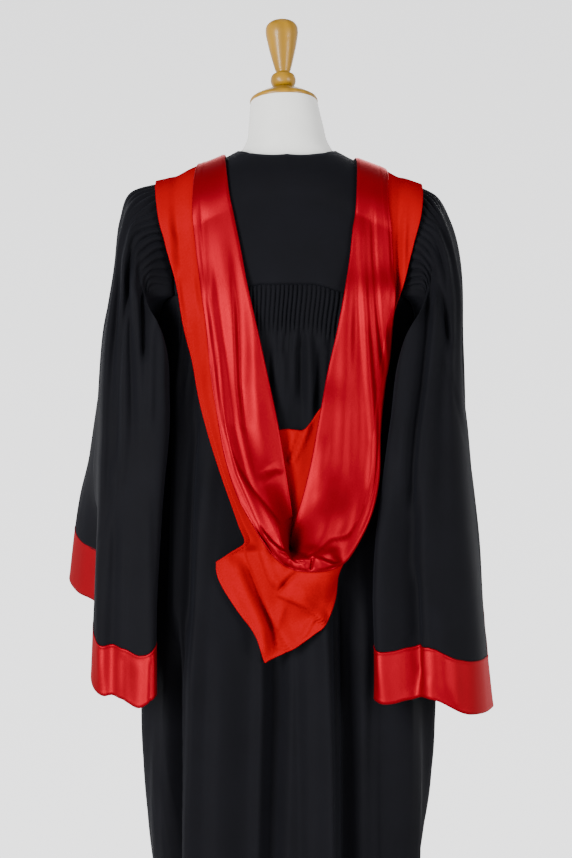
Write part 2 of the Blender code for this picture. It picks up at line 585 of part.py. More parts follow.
def yoke_sheet():
    """The yoke: a plain back with the neck hole, and two flaps over the shoulders."""
    steps = range(-YOKE_COLUMNS, YOKE_COLUMNS + 1)
    rows = [[drape_point(*yoke_back_place(step, level)) for step in steps] for level in YOKE_LEVELS]
    sheet = Sheet(rows)
    cells = YOKE_COLUMNS - NECK_COLUMNS
    for side in (-1, 1):
        middle = (len(rows) - 1) * len(steps) + YOKE_COLUMNS
        ring = [middle + side * (NECK_COLUMNS + j) for j in range(cells + 1)]
        for down in YOKE_DOWNS:
            below = list(range(len(sheet.points), len(sheet.points) + cells + 1))
            sheet.points += [drape_point(*yoke_flap_place(side, j / cells, down)) for j in range(cells + 1)]
            for j in range(cells):
                quad = (ring[j], ring[j + 1], below[j + 1], below[j])
                sheet.faces.append(quad if side < 0 else quad[::-1])
            ring = below
    return sheet


def yoke_seam_z(x):
    """The seam between yoke and back, which falls away a little towards the armholes."""
    return YOKE_SEAM_Z - (YOKE_SEAM_Z - YOKE_CORNER_Z) * ease(0.035, 0.100, abs(x))


def back_top_z(turn):
    """The back panel's top edge: the yoke seam and, outside its corners, the armhole."""
    if abs(turn) <= CORNER_TURN:
        return yoke_seam_z(plan_point(turn, YOKE_SEAM_Z)[0]) - SEAM_GAP / 2
    inset = ARMHOLE_INSET * ease(CORNER_TURN, CORNER_TURN + 0.05, abs(turn))
    return armhole_drop(turn, CORNER_TURN) - inset


def back_point(turn, part):
    """The back panel at a quarter turn and a part of the way from its top edge to the hem."""
    top = back_top_z(turn)
    z = mix(top, HEM_Z, part)
    below = top - z
    lean = -0.014 * ease(0.0, FLUTE_BAND, below) * (1 - ease(FLUTE_BAND, 0.5, below))
    around = turn * QUARTER * body_track.at(z)[0]
    flute_share = 1 - ease(CORNER_TURN * 0.96, CORNER_TURN, abs(turn))
    flute = math.cos(math.pi * BACK_FLUTES * (turn / CORNER_TURN + 1))
    height = FLUTE_DEPTH * flute * flute_share * (1 - ease(FLUTE_BAND * 0.9, FLUTE_BAND * 1.5, below))
    gather = math.cos(math.pi * BACK_GATHERS * turn / CORNER_TURN)
    fade = ease(FLUTE_BAND * 0.8, FLUTE_BAND * 1.6, below) * (1 - ease(0.12, 0.42, below))
    height += GATHER_DEPTH * gather * flute_share * fade
    height += fold_height(BACK_FOLDS, around, z) * (1 - ease(0.90, 1.0, abs(turn)))
    base = body_point(turn + lean, z)
    return base, height


def lift(point, height):
    """Move a body point out from the body's axis by a height."""
    out = Vector((point.x * 0.5, point.y, 0.0))
    if out.length < 1e-6:
        return point
    return point + out.normalized() * height


def back_sheet():
    """The back panel: fluted into the yoke, gathered below, and hung in long folds."""
    fine = 2 * BACK_FLUTES
    side_cells = 6
    turns = [mix(-1, -CORNER_TURN, i / side_cells) for i in range(side_cells)]
    turns += [mix(-CORNER_TURN, CORNER_TURN, i / fine) for i in range(fine + 1)]
    turns += [mix(CORNER_TURN, 1, (i + 1) / side_cells) for i in range(side_cells)]
    band = FLUTE_BAND / (YOKE_SEAM_Z - HEM_Z)
    fine_parts = [0.0, band * 0.5, band * 1.0]
    coarse_parts = [band * 1.6, 0.15, 0.20, 0.26, 0.34, 0.43, 0.53, 0.64, 0.76, 0.88, 1.0]
    rows = [[lift(*back_point(turn, part)) for turn in turns] for part in fine_parts]
    rows += [[lift(*back_point(turn, part)) for turn in turns[::2]] for part in coarse_parts]
    return Sheet(rows)


def front_point(side, share, z):
    """A front panel at a share of its width from the open edge, at a height."""
    inner = turn_of_x(front_edge_track.at(z)[0], z)
    outer = 1.0 - 2 * SEAM_GAP
    if z > YOKE_CORNER_Z:
        outer = turn_of_x(armhole_track.at(length_at(0.176, z))[0], z)
    elif z > UNDERARM_Z:
        reach = (YOKE_CORNER_Z - z) / (YOKE_CORNER_Z - UNDERARM_Z)
        outer = mix(CORNER_TURN, 1.0 - 2 * SEAM_GAP, 0.5 - math.sin(math.asin(1 - 2 * reach) / 3))
    turn = mix(inner, outer, share)
    around = turn * QUARTER * body_track.at(z)[0]
    height = fold_height(FRONT_FOLDS, around, z) * (1 - ease(0.86, 1.0, share))
    return lift(body_point(side * turn, z, False), height)


def front_sheet(side):
    """A front panel, which hangs open from the yoke."""
    cells = 14
    top = FRONT_SEAM_Z - SEAM_GAP / 2 - 0.0004
    levels = [top, 1.33, 1.285, 1.262, 1.235, 1.205, 1.12, 1.02, 0.90, 0.77, 0.64, 0.52, 0.40, HEM_Z]
    rows = [[front_point(side, i / cells, z) for i in range(cells + 1)] for z in levels]
    if side < 0:
        rows = [row[::-1] for row in rows]
    return Sheet([row[::-1] for row in rows])


def sleeve_track(rings):
    """Tracks down a sleeve, one for each named place round it."""
    tracks = []
    for column, place in enumerate(SLEEVE_PLACES):
        rows = [(0.0, *armhole_point(place))]
        rows += [(ring.along, *ring[column + 1]) for ring in rings]
        tracks.append(Track(rows))
    return tracks


def body_clearance(point, room):
    """Push a point of a sleeve out to where it stands clear of the body's folds."""
    if point.z > UNDERARM_Z + 0.05:
        return point
    half_width, back, front = body_track.at(point.z)
    side_room = room * ease(UNDERARM_Z + 0.05, UNDERARM_Z - 0.10, point.z)
    half_width = min(half_width, 0.235) + side_room
    depth = (back if point.y < 0 else front) + side_room
    level = (abs(point.x) / half_width) ** PLAN_POWER + (abs(point.y) / depth) ** PLAN_POWER
    if level >= 1 or level == 0:
        return point
    scale = level ** (-1 / PLAN_POWER)
    return Vector((point.x * scale, point.y * scale, point.z))


def wrap_ring(rows):
    """Rows round a ring, with enough of them repeated at both ends to close it smoothly."""
    before = [(row[0] - 1.0, *row[1:]) for row in rows[-2:]]
    after = [(row[0] + 1.0, *row[1:]) for row in rows[:2]]
    return before + rows + after


def sleeve_point(tracks, troughs, side, place, along):
    """A sleeve's surface at a place round it and a part of the way from armhole to hem."""
    keyed = [(p, *track.at(along)) for p, track in zip(SLEEVE_PLACES, tracks)]
    smooth_ring = Vector(Track(wrap_ring(keyed)).at(place % 1.0))
    if along < SEAM_BLEND:
        seam_rows = [(p, *track.values[0]) for p, track in zip(SLEEVE_PLACES, tracks)]
        seam_ring = Vector(Track(wrap_ring(seam_rows)).at(place % 1.0))
        smooth_ring += (armhole_point(place) - seam_ring) * (1 - ease(0.0, SEAM_BLEND, along))
    point = body_clearance(smooth_ring, BODY_ROOM)
    height = 0.0
    raised = 0.0
    wrapped = place if place < 0.5 else place - 1.0
    share = (wrapped - FLUTES_FROM) / FLUTES_REACH
    if 0 < share < 1 and along < 0.25:
        fade = ease(0.0, 0.04, share) * (1 - ease(0.96, 1.0, share))
        fade *= (1 - ease(HEAD_BAND, 0.2, along)) * ease(-0.012, 0.020, along)
        height += HEAD_FLUTE_DEPTH * math.cos(2 * math.pi * HEAD_FLUTES * share) * fade
    for trough in troughs:
        t = (along - trough.along_top) / (trough.along_low - trough.along_top)
        if 0 < t < 1.3:
            centre = mix(trough.place_top, trough.place_low, t)
            away = abs(place % 1.0 - centre) / trough.half_width
            if away < 1:
                strength = ease(0.0, 0.25, t) * (1 - ease(0.8, 1.3, t))
                depth = trough.depth * strength * 0.5 * (1 + math.cos(math.pi * away))
                height -= depth
                raised += HEM_LIFT * depth * ease(0.5, 1.0, along)
    axis = Vector([sum(row[i + 1] for row in keyed) / len(keyed) for i in range(3)])
    out = point - axis
    out.z *= 0.4 + 0.6 * (1 - ease(0.0, 0.3, along))
    point = point + out.normalized() * height
    return Vector((side * point.x, point.y, point.z + raised))


def sleeve_places():
    """Places of the fine columns round a sleeve: two for each flute, and a few under the arm."""
    fluted = [FLUTES_FROM + FLUTES_REACH * i / (2 * HEAD_FLUTES) for i in range(2 * HEAD_FLUTES + 1)]
    plain = [FLUTES_FROM + FLUTES_REACH + (1 - FLUTES_REACH) * (i + 1) / 12 for i in range(11)]
    return fluted + plain


def tube_sheet(tracks, troughs, side, fine_alongs, coarse_alongs, step):
    """Rings round a sleeve. Coarse rings have every step-th column."""
    places = sleeve_places()
    rows = [[sleeve_point(tracks, troughs, side, p, a) for p in places] for a in fine_alongs]
    rows += [[sleeve_point(tracks, troughs, side, p, a) for p in places[::step]] for a in coarse_alongs]
    if side < 0:
        rows = [[row[0]] + row[:0:-1] for row in rows]
    return Sheet(rows, closed=True)


def hood_tracks():
    """The hood's three lines along its length, in x and in length down from the shoulder line."""
    rows = []
    for k, row in enumerate(HOOD):
        sign = 1 if row.side == "back" else -1
        values = [float(k)]
        for x, z in ((row.edge_x, row.edge_z), (row.rim_x, row.rim_z), (row.inner_x, row.inner_z)):
            values += [x, sign * length_at(x, z)]
        rows.append((*values, row.edge_out, row.rim_out, row.inner_out))
    return Track(rows)


hood_track = hood_tracks()


def hood_lines(station):
    """The free edge, rim and inner edge of the hood at a station, as x and length, and their three outs."""
    values = hood_track.at(station)
    return values[0:2], values[2:4], values[4:6], values[6:9]


def hood_stations():
    """Where the hood's cross lines lie, as row numbers of its table."""
    stations = [k + i / row.steps for k, row in enumerate(HOOD[:-1]) for i in range(row.steps)]
    return stations + [len(HOOD) - 1.0]


def hood_base(x, length):
    """Base surface under the hood, with its outward normal."""
    def at(u, v):
        return drape_point(u, v, HOOD_HALF_WIDTH)
    normal = surface_normal(at, x, length)
    point = at(x, length)
    if normal.dot(Vector((point.x, point.y * 2, max(point.z - 1.40, 0.0) * 6))) < 0:
        normal = -normal
    return point, normal


def resting_heights(places, support):
    """Heights of the support under a grid, each the most that is found up to a cell away."""
    rows, columns = len(places), len(places[0])
    found = np.full((2 * rows - 1, 2 * columns - 1), -1.0)
    for i in range(2 * rows - 1):
        for j in range(2 * columns - 1):
            near = [places[(i + a) // 2][(j + b) // 2] for a in (0, 1) for b in (0, 1)]
            x = sum(spot[0] for spot in near) / 4
            length = sum(spot[1] for spot in near) / 4
            height = support.height(*hood_base(x, length))
            if height is not None and height > -0.05:
                found[i, j] = height
    found = np.where(found < -0.9, np.median(found[found > -0.9]), found)
    padded = np.pad(found, 2, mode="edge")
    windows = [padded[a:a + 2 * rows - 1, b:b + 2 * columns - 1] for a in range(5) for b in range(5)]
    return np.max(windows, axis=0)[::2, ::2]


def smoothed(grid):
    """A grid of heights, averaged with its neighbours but nowhere lowered."""
    padded = np.pad(grid, 1, mode="edge")
    rows, columns = grid.shape
    mean = np.mean([padded[a:a + rows, b:b + columns] for a in range(3) for b in range(3)], axis=0)
    return np.maximum(grid, mean)


def settle(places, support, on_top_of=None):
    """Stand a grid of places off what lies under it, and clear of the layer that it laps over."""
    heights = smoothed(resting_heights(places, support))
    outs = heights + np.array([[spot[2] for spot in row] for row in places])
    if on_top_of:
        outs = np.maximum(outs, resting_heights(places, on_top_of) + LINING_STEP)
    points = []
    for row, row_outs in zip(places, outs):
        bases = [hood_base(x, length) for x, length, out in row]
        points.append([base + normal * out for (base, normal), out in zip(bases, row_outs)])
    return points


def hood_back_sheet(support):
    """The layer of the hood that lies on the gown inside the cowl."""
    track = Track(HOOD_BACK)
    cells = 8
    levels = 5
    places = []
    for k in range(levels + 1):
        z = mix(HOOD_BACK[0].z, HOOD_BACK[-1].z, k / levels)
        left, right = track.at(z)
        row = []
        for i in range(cells + 1):
            x = mix(left, right, i / cells)
            rise = HOOD_BACK_RISE * ease(0.022, 0.060, x) * (1 - k / levels) ** 2
            row.append((x, length_at(0.0, z + rise), LAYER_STEP))
        places.append(row)
    return Sheet(settle(places, support))


def hood_shell_sheet(support):
    """The hood's outer cloth: a band over each shoulder that widens into the hanging tail."""
    shares = [0.0, 0.22, 0.44, 0.66, 0.86, 1.0]
    places = []
    for station in hood_stations():
        edge, rim, inner, outs = hood_lines(station)
        end = mix(rim, inner, RIM_TUCK / np.linalg.norm(rim - inner))
        row = []
        for share in shares:
            out = mix(outs[0], outs[1], ease(0.25, 1.0, share))
            row.append((*mix(edge, end, share), out))
        places.append(row)
    return Sheet(settle(places, support))


def hood_lining_sheet(support, shell):
    """The satin lining, turned out all round the cowl."""
    shares = [0.0, 0.14, 0.36, 0.58, 0.80, 1.0]
    places = []
    for station in hood_stations():
        _, rim, inner, outs = hood_lines(station)
        row = []
        for share in shares:
            out = mix(outs[1], outs[2], ease(-0.1, 1.0, share)) + LINING_STEP
            row.append((*mix(rim, inner, share), out))
        places.append(row)
    return Sheet(settle(places, support, shell))


def material(name, colour, roughness, sheen=0.0):
    made = bpy.data.materials.new(name)
    made.use_nodes = True
    shader = made.node_tree.nodes["Principled BSDF"]
    shader.inputs["Base Color"].default_value = (*colour, 1.0)
    shader.inputs["Roughness"].default_value = roughness
    shader.inputs["Sheen Weight"].default_value = sheen
    made.diffuse_color = (*colour, 1.0)
    return made


def place(collection, name, mesh, finish):
    """Make a named, smooth object of a mesh, with its own copy of a finish."""
    mesh.materials.append(finish)
    mesh.shade_smooth()
    mesh.set_sharp_from_angle(angle=math.radians(50))
    made = bpy.data.objects.new(name, mesh)
    collection.objects.link(made)
    return made


def add_cloth(collection, name, sheet, thickness, finish):
    """A cloth piece: its sheet with Solidify, half of the wall on each side."""
    mesh = bpy.data.meshes.new(name)
    mesh.from_pydata([tuple(p) for p in sheet.points], [], sheet.faces)
    mesh.update()
    made = place(collection, name, mesh, finish)
    wall = made.modifiers.new("wall", "SOLIDIFY")
    wall.thickness = thickness
    wall.offset = 0.0
    wall.use_even_offset = False
    return made


def add_turned(collection, name, profile, finish, steps):
    """A turned piece: its profile with Screw round Z."""
    build = bmesh.new()
    verts = [build.verts.new((point.radius, 0.0, point.z)) for point in profile]
    for a, b in zip(verts, verts[1:]):
        build.edges.new((a, b))
    mesh = bpy.data.meshes.new(name)
    build.to_mesh(mesh)
    build.free()
    made = place(collection, name, mesh, finish)
    turning = made.modifiers.new("turning", "SCREW")
    turning.steps = steps
    turning.render_steps = steps
    turning.use_merge_vertices = True
    turning.merge_threshold = 0.00005
    return made


def add_form(collection, finish):
    """The dress form's body: a loft from its flat underside to the top of its neck."""
    columns = 24
    build = bmesh.new()
    rings = []
    for section in FORM:
        ring = []
        for i in range(columns):
            angle = 2 * math.pi * i / columns
            power = 2 / FORM_POWER
            x = section.half_width * math.copysign(abs(math.sin(angle)) ** power, math.sin(angle))
            depth = section.back if math.cos(angle) > 0 else section.front
            y = -depth * math.copysign(abs(math.cos(angle)) ** power, math.cos(angle))
            z = section.z - section.lean * (y + math.tan(CAP_SIDE_LEAN) / math.tan(CAP_LEAN) * x)
            ring.append(build.verts.new((x + section.shift_x, y + section.shift_y, z)))
        rings.append(ring)
    for low, high in zip(rings, rings[1:]):
        for i in range(columns):
            build.faces.new((low[i], low[(i + 1) % columns], high[(i + 1) % columns], high[i]))
    build.faces.new(rings[0][::-1])
    build.faces.new(rings[-1])
    mesh = bpy.data.meshes.new("form_body")
    build.to_mesh(mesh)
    build.free()
    return place(collection, "form_body", mesh, finish)


def add_pole(collection, finish):
    """The stand's pole, between the base and the dress form."""
    low = BASE_PROFILE[0].z + SEAM_GAP
    high = FORM[0].z - SEAM_GAP
    build = bmesh.new()
    bmesh.ops.create_cone(
        build, cap_ends=True, segments=20, radius1=POLE_RADIUS, radius2=POLE_RADIUS, depth=high - low
    )
    mesh = bpy.data.meshes.new("stand_pole")
    build.to_mesh(mesh)
    build.free()
    made = place(collection, "stand_pole", mesh, finish)
    made.location = (0.0, 0.0, (low + high) / 2)
    return made


def build_gown():
    for old in list(bpy.data.objects):
        bpy.data.objects.remove(old, do_unlink=True)
    collection = bpy.data.collections.new("graduation_gown")
    bpy.context.scene.collection.children.link(collection)
    black = material("black_cloth", BLACK, 0.85, 0.3)
    red = material("red_cloth", RED, 0.80, 0.3)
    satin = material("red_satin", SATIN_RED, 0.28)
    jersey = material("form_jersey", JERSEY, 0.90)
    wood = material("varnished_wood", WOOD, 0.30)

    yoke = yoke_sheet()
    add_cloth(collection, "yoke", yoke, CLOTH, black)
    back = back_sheet()
    add_cloth(collection, "back", back, CLOTH, black)
    under_hood = [yoke, back]
    for name, side in (("left", -1), ("right", 1)):
        front = front_sheet(side)
        add_cloth(collection, f"front_{name}", front, CLOTH, black)
        rings, troughs = (RIGHT_SLEEVE, RIGHT_TROUGHS) if side > 0 else (LEFT_SLEEVE, LEFT_TROUGHS)
        tracks = sleeve_track(rings)
        seam = CUFF_START - CUFF_SEAM
        sleeve = tube_sheet(
            tracks, troughs, side, [SLEEVE_SEAM, 0.035, 0.07, 0.10],
            [0.14, 0.2, 0.28, 0.38, 0.5, 0.64, 0.78, seam], 2
        )
        add_cloth(collection, f"sleeve_{name}", sleeve, CLOTH, black)
        cuff = tube_sheet(tracks, troughs, side, [], [CUFF_START + CUFF_SEAM, 0.957, 1.0], 2)
        add_cloth(collection, f"cuff_{name}", cuff, CLOTH, satin)
        under_hood += [front, sleeve]
    layer = hood_back_sheet(Support(under_hood))
    add_cloth(collection, "hood_back", layer, CLOTH, red)
    shell = hood_shell_sheet(Support(under_hood + [layer]))
    add_cloth(collection, "hood_shell", shell, CLOTH, red)
    lining = hood_lining_sheet(Support(under_hood + [layer]), Support([shell]))
    add_cloth(collection, "hood_lining", lining, SATIN, satin)

    add_form(collection, jersey)
    for name, profile in (("form_cap", CAP_PROFILE), ("form_finial", FINIAL_PROFILE)):
        made = add_turned(collection, name, profile, wood, 20)
        lean = Matrix.Rotation(-CAP_LEAN, 4, "X") @ Matrix.Rotation(CAP_SIDE_LEAN, 4, "Y")
        made.matrix_world = Matrix.Translation(CAP_SEAT) @ lean
    add_pole(collection, wood)
    add_turned(collection, "stand_base", BASE_PROFILE, wood, 32)


build_gown()
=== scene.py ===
"""Looks of a graduation gown with its hood on a limbless dress form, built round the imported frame.

Metres, +Z up. The gown's back faces -Y, and +X is to the right, seen from behind. Every cloth piece is a
thin shell on the form of its CAD solid, with flutes, gathers, folds and creases of its own.
"""

import math
from collections import namedtuple

import bmesh
import bpy
import numpy as np
from mathutils import Matrix, Vector, noise
from mathutils.bvhtree import BVHTree


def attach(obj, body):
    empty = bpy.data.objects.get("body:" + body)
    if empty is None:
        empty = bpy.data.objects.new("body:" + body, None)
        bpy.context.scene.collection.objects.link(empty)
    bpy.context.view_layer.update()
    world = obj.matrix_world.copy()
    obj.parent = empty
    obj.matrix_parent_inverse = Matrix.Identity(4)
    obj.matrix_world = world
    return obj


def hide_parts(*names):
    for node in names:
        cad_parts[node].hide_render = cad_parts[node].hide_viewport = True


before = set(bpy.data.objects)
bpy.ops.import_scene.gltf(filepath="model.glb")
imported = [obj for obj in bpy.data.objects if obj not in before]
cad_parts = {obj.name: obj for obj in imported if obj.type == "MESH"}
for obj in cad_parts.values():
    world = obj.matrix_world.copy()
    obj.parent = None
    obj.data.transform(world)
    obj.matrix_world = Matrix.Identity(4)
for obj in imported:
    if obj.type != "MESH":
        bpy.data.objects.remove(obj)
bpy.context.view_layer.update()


def named(columns, *rows):
    """Rows of a table, with names for their columns. A short row ends in zeros."""
    names = columns.split()
    row_type = namedtuple("Row", names, defaults=[0.0] * len(names))
    return tuple(row_type(*row) for row in rows)


# The photograph's camera: pixels of the picture for a metre at a metre away, and where it stands
FOCAL_PIXELS = 1735.0
CAMERA_X = -0.0016
CAMERA_DISTANCE = 2.8
CAMERA_Z = 1.054
MIDDLE_X = 287.0
MIDDLE_Y = 429.0
PICTURE_HEIGHT = 858
SENSOR = 36.0

# The room: its floor, and the part of its brightness over the height of a direction, from -1 to 1
FLOOR_RADIUS = 1.35
WORLD_STRENGTH = 2.1
WORLD_LEVELS = ((-1.0, 0.8), (-0.24, 1.20), (0.0, 1.10), (0.24, 0.95), (0.70, 0.35), (1.0, 0.18))
LIGHTS = named(
    "name place target size power",
    ("key", (-2.4, -2.8, 1.6), (0.0, 0.0, 1.0), (1.2, 1.8), 450.0),
    ("low", (-1.5, -2.9, 0.35), (0.0, 0.0, 0.9), (1.6, 0.6), 150.0),
    ("fill", (2.8, -2.5, 1.3), (0.0, 0.0, 1.0), (1.4, 2.0), 240.0),
    ("top", (0.2, -0.3, 3.9), (0.0, 0.0, 1.2), (2.0, 1.6), 15.0),
    ("far", (0.4, 3.0, 2.7), (0.0, 0.0, 1.1), (2.4, 1.6), 80.0),
)

# Walls of the cloth
BLACK_WALL = 0.0014
FINE_BLACK_WALL = 0.0012
CUFF_WALL = 0.0016
INNER_WALL = 0.0012
SHELL_WALL = 0.0013
LINING_WALL = 0.0010

# Gaps at seams, room between sleeves and body, and how far the hood's layers stand off what is under them
SEAM_GAP = 0.0003
SLEEVE_SEAM = 0.0019
ARMHOLE_INSET = 0.0026
SEAM_TUCK = 0.0012
# How far round a front panel reaches on under the sleeve's seam
FRONT_UNDER_SLEEVE = 0.012
BODY_ROOM = 0.027
LAYER_STEP = 0.0028
LINING_STEP = 0.0022
LEAST_STAND = 0.0012

# Slight unevenness of the cloths: its height, the size of its swells, and how much longer they are downwards
Uneven = namedtuple("Uneven", "height size stretch")
YOKE_SWELLS = Uneven(0.0010, 0.09, 1.0)
YOKE_CRUMPLES = Uneven(0.0004, 0.03, 1.0)
BODY_SWELLS = Uneven(0.0016, 0.06, 3.5)
SLEEVE_SWELLS = Uneven(0.0018, 0.055, 3.0)
SHELL_SWELLS = Uneven(0.0010, 0.07, 2.0)
LINING_SWELLS = Uneven(0.0005, 0.08, 3.0)

# Heights of the gown's seams, and its flutes and gathers
HEM_Z = 0.270
UNDERARM_Z = 1.205
YOKE_SEAM_Z = 1.2765
YOKE_CORNER_Z = 1.262
FRONT_SEAM_Z = 1.385
FLUTE_BAND = 0.068
BACK_FLUTES = 52
FLUTE_DEPTH = 0.00253
FLUTE_LEAN = 0.014
BACK_GATHERS = 17
GATHER_DEPTH = 0.002475
WIDE_GATHERS = 6.5
WIDE_GATHER_DEPTH = 0.00315
HEAD_FLUTES = 26
HEAD_FLUTE_DEPTH = 0.0033
HEAD_BAND = 0.075
# The part of a sleeve's girth that is fluted into its armhole
FLUTES_FROM = -0.20
FLUTES_REACH = 0.52
CUFF_START = 0.915
# The first part of a sleeve's length, in which its rings turn from the armhole's shape to their own
SEAM_BLEND = 0.06

# Plan of the gown's body: a rounded curve of this power. half_width is half its width at a height.
PLAN_POWER = 2.6
PLAN_ASPECT = 0.65
BODY = named(
    "z half_width back front",
    (0.27, 0.2, 0.158, 0.14),
    (0.37, 0.209, 0.158, 0.14),
    (0.6, 0.23, 0.158, 0.135),
    (0.8, 0.233, 0.155, 0.13),
    (0.9, 0.229, 0.153, 0.13),
    (1.1, 0.212, 0.144, 0.135),
    (1.205, 0.203, 0.138, 0.138),
    (1.2755, 0.215, 0.133, 0.14),
    (1.35, 0.215, 0.125, 0.13),
    (1.42, 0.215, 0.11, 0.115),
    (1.52, 0.215, 0.1, 0.105),
)

# Height of the shoulder line over the distance from the middle
RIDGE = named(
    "x z",
    (0.0, 1.515),
    (0.065, 1.505),
    (0.08, 1.4995),
    (0.098, 1.49),
    (0.152, 1.468),
    (0.196, 1.444),
    (0.23, 1.433),
)
ARC_DROP = 0.1
ARC_REACH = 0.105

# The armhole seam: its distance from the middle over the length down from the shoulder line
ARMHOLE = named(
    "length x",
    (0.0, 0.18),
    (0.1, 0.178),
    (0.26, 0.175),
)

# Long folds of the skirt. round_top and round_low are cloth distances from the centre back, to the right.
FOLD_COLUMNS = "round_top z_top round_low z_low left right height"
BACK_FOLDS = named(
    FOLD_COLUMNS,
    (-0.168, 1.19, -0.19, 0.6, 0.02, 0.018, 0.01),
    (-0.122, 1.18, -0.136, 0.6, 0.02, 0.09, 0.02),
    (-0.02, 1.2, -0.03, 0.62, 0.03, 0.034, 0.008),
    (0.034, 1.2, 0.06, 0.6, 0.048, 0.018, 0.018),
    (0.105, 1.18, 0.12, 0.55, 0.022, 0.03, 0.007),
    (0.15, 1.16, 0.186, 0.58, 0.05, 0.04, 0.012),
    (-0.225, 1.08, -0.262, 0.5, 0.034, 0.03, 0.007),
    (0.232, 1.08, 0.272, 0.52, 0.03, 0.034, 0.009),
)
FRONT_FOLDS = named(
    FOLD_COLUMNS,
    (0.03, 1.37, 0.052, 0.6, 0.026, 0.04, 0.009),
    (0.088, 1.37, 0.124, 0.58, 0.03, 0.026, 0.013),
    (0.13, 1.3, 0.196, 0.52, 0.04, 0.034, 0.011),
)

# Where the open front edges hang, from the middle
FRONT_EDGE = named(
    "z x",
    (0.27, 0.046),
    (0.6, 0.052),
    (0.9, 0.06),
    (1.2, 0.068),
    (1.4, 0.064),
)

# Neck hole of the yoke: length down from the shoulder line over the distance from the middle
NECK_EDGE = named(
    "length x",
    (-0.12, 0.064),
    (-0.06, 0.074),
    (0.0, 0.08),
    (0.04, 0.074),
    (0.064, 0.06),
)
NECK_BACK_LENGTH = 0.0832
# Where the yoke's back meets its flaps at the armhole, and its columns out to the neck and to the armhole
YOKE_TURN_LENGTH = 0.075
NECK_COLUMNS = 8
YOKE_COLUMNS = 15
BINDING_RADIUS = 0.0012

# Places round a sleeve, as parts of its girth from the outermost line by way of the back
SLEEVE_PLACES = (0.0, 0.055, 0.11, 0.19, 0.27, 0.5, 0.75, 0.88)
RING_COLUMNS = "along outer outer_fold outer_back back edge body front outer_front"
RIGHT_SLEEVE = named(
    RING_COLUMNS,
    (0.035, (0.211, 0.0, 1.442), (0.209, -0.038, 1.434), (0.205, -0.074, 1.412),
     (0.202, -0.101, 1.358), (0.207, -0.116, 1.3), (0.217, 0.0, 1.19),
     (0.2, 0.11, 1.335), (0.205, 0.078, 1.408)),
    (0.07, (0.237, 0.0, 1.429), (0.235, -0.044, 1.418), (0.229, -0.084, 1.392),
     (0.224, -0.112, 1.34), (0.217, -0.126, 1.276), (0.223, 0.0, 1.17),
     (0.218, 0.122, 1.315), (0.229, 0.086, 1.388)),
    (0.125, (0.261, 0.0, 1.386), (0.258, -0.052, 1.373), (0.25, -0.1, 1.346),
     (0.238, -0.132, 1.298), (0.207, -0.147, 1.24), (0.226, 0.0, 1.142),
     (0.23, 0.13, 1.28), (0.252, 0.09, 1.345)),
    (0.2, (0.277, 0.0, 1.325), (0.272, -0.06, 1.309), (0.262, -0.116, 1.28),
     (0.235, -0.15, 1.245), (0.184, -0.158, 1.196), (0.227, 0.0, 1.1),
     (0.24, 0.132, 1.22), (0.268, 0.09, 1.28)),
    (0.34, (0.282, 0.0, 1.197), (0.276, -0.072, 1.179), (0.262, -0.138, 1.148),
     (0.222, -0.174, 1.118), (0.166, -0.174, 1.082), (0.23, 0.0, 1.02),
     (0.252, 0.13, 1.112), (0.278, 0.088, 1.156)),
    (0.63, (0.302, 0.0, 0.94), (0.293, -0.086, 0.926), (0.272, -0.164, 0.906),
     (0.212, -0.205, 0.888), (0.142, -0.192, 0.878), (0.252, 0.0, 0.862),
     (0.272, 0.12, 0.958), (0.299, 0.08, 0.952)),
    (0.915, (0.323, 0.0, 0.696), (0.313, -0.088, 0.697), (0.29, -0.168, 0.7),
     (0.22, -0.216, 0.706), (0.141, -0.2, 0.72), (0.26, 0.0, 0.76),
     (0.29, 0.1, 0.868), (0.318, 0.068, 0.8)),
    (1.0, (0.331, 0.0, 0.618), (0.32, -0.088, 0.619), (0.294, -0.168, 0.622),
     (0.224, -0.217, 0.63), (0.141, -0.202, 0.643), (0.262, 0.0, 0.684),
     (0.292, 0.098, 0.792), (0.322, 0.066, 0.722)),
)
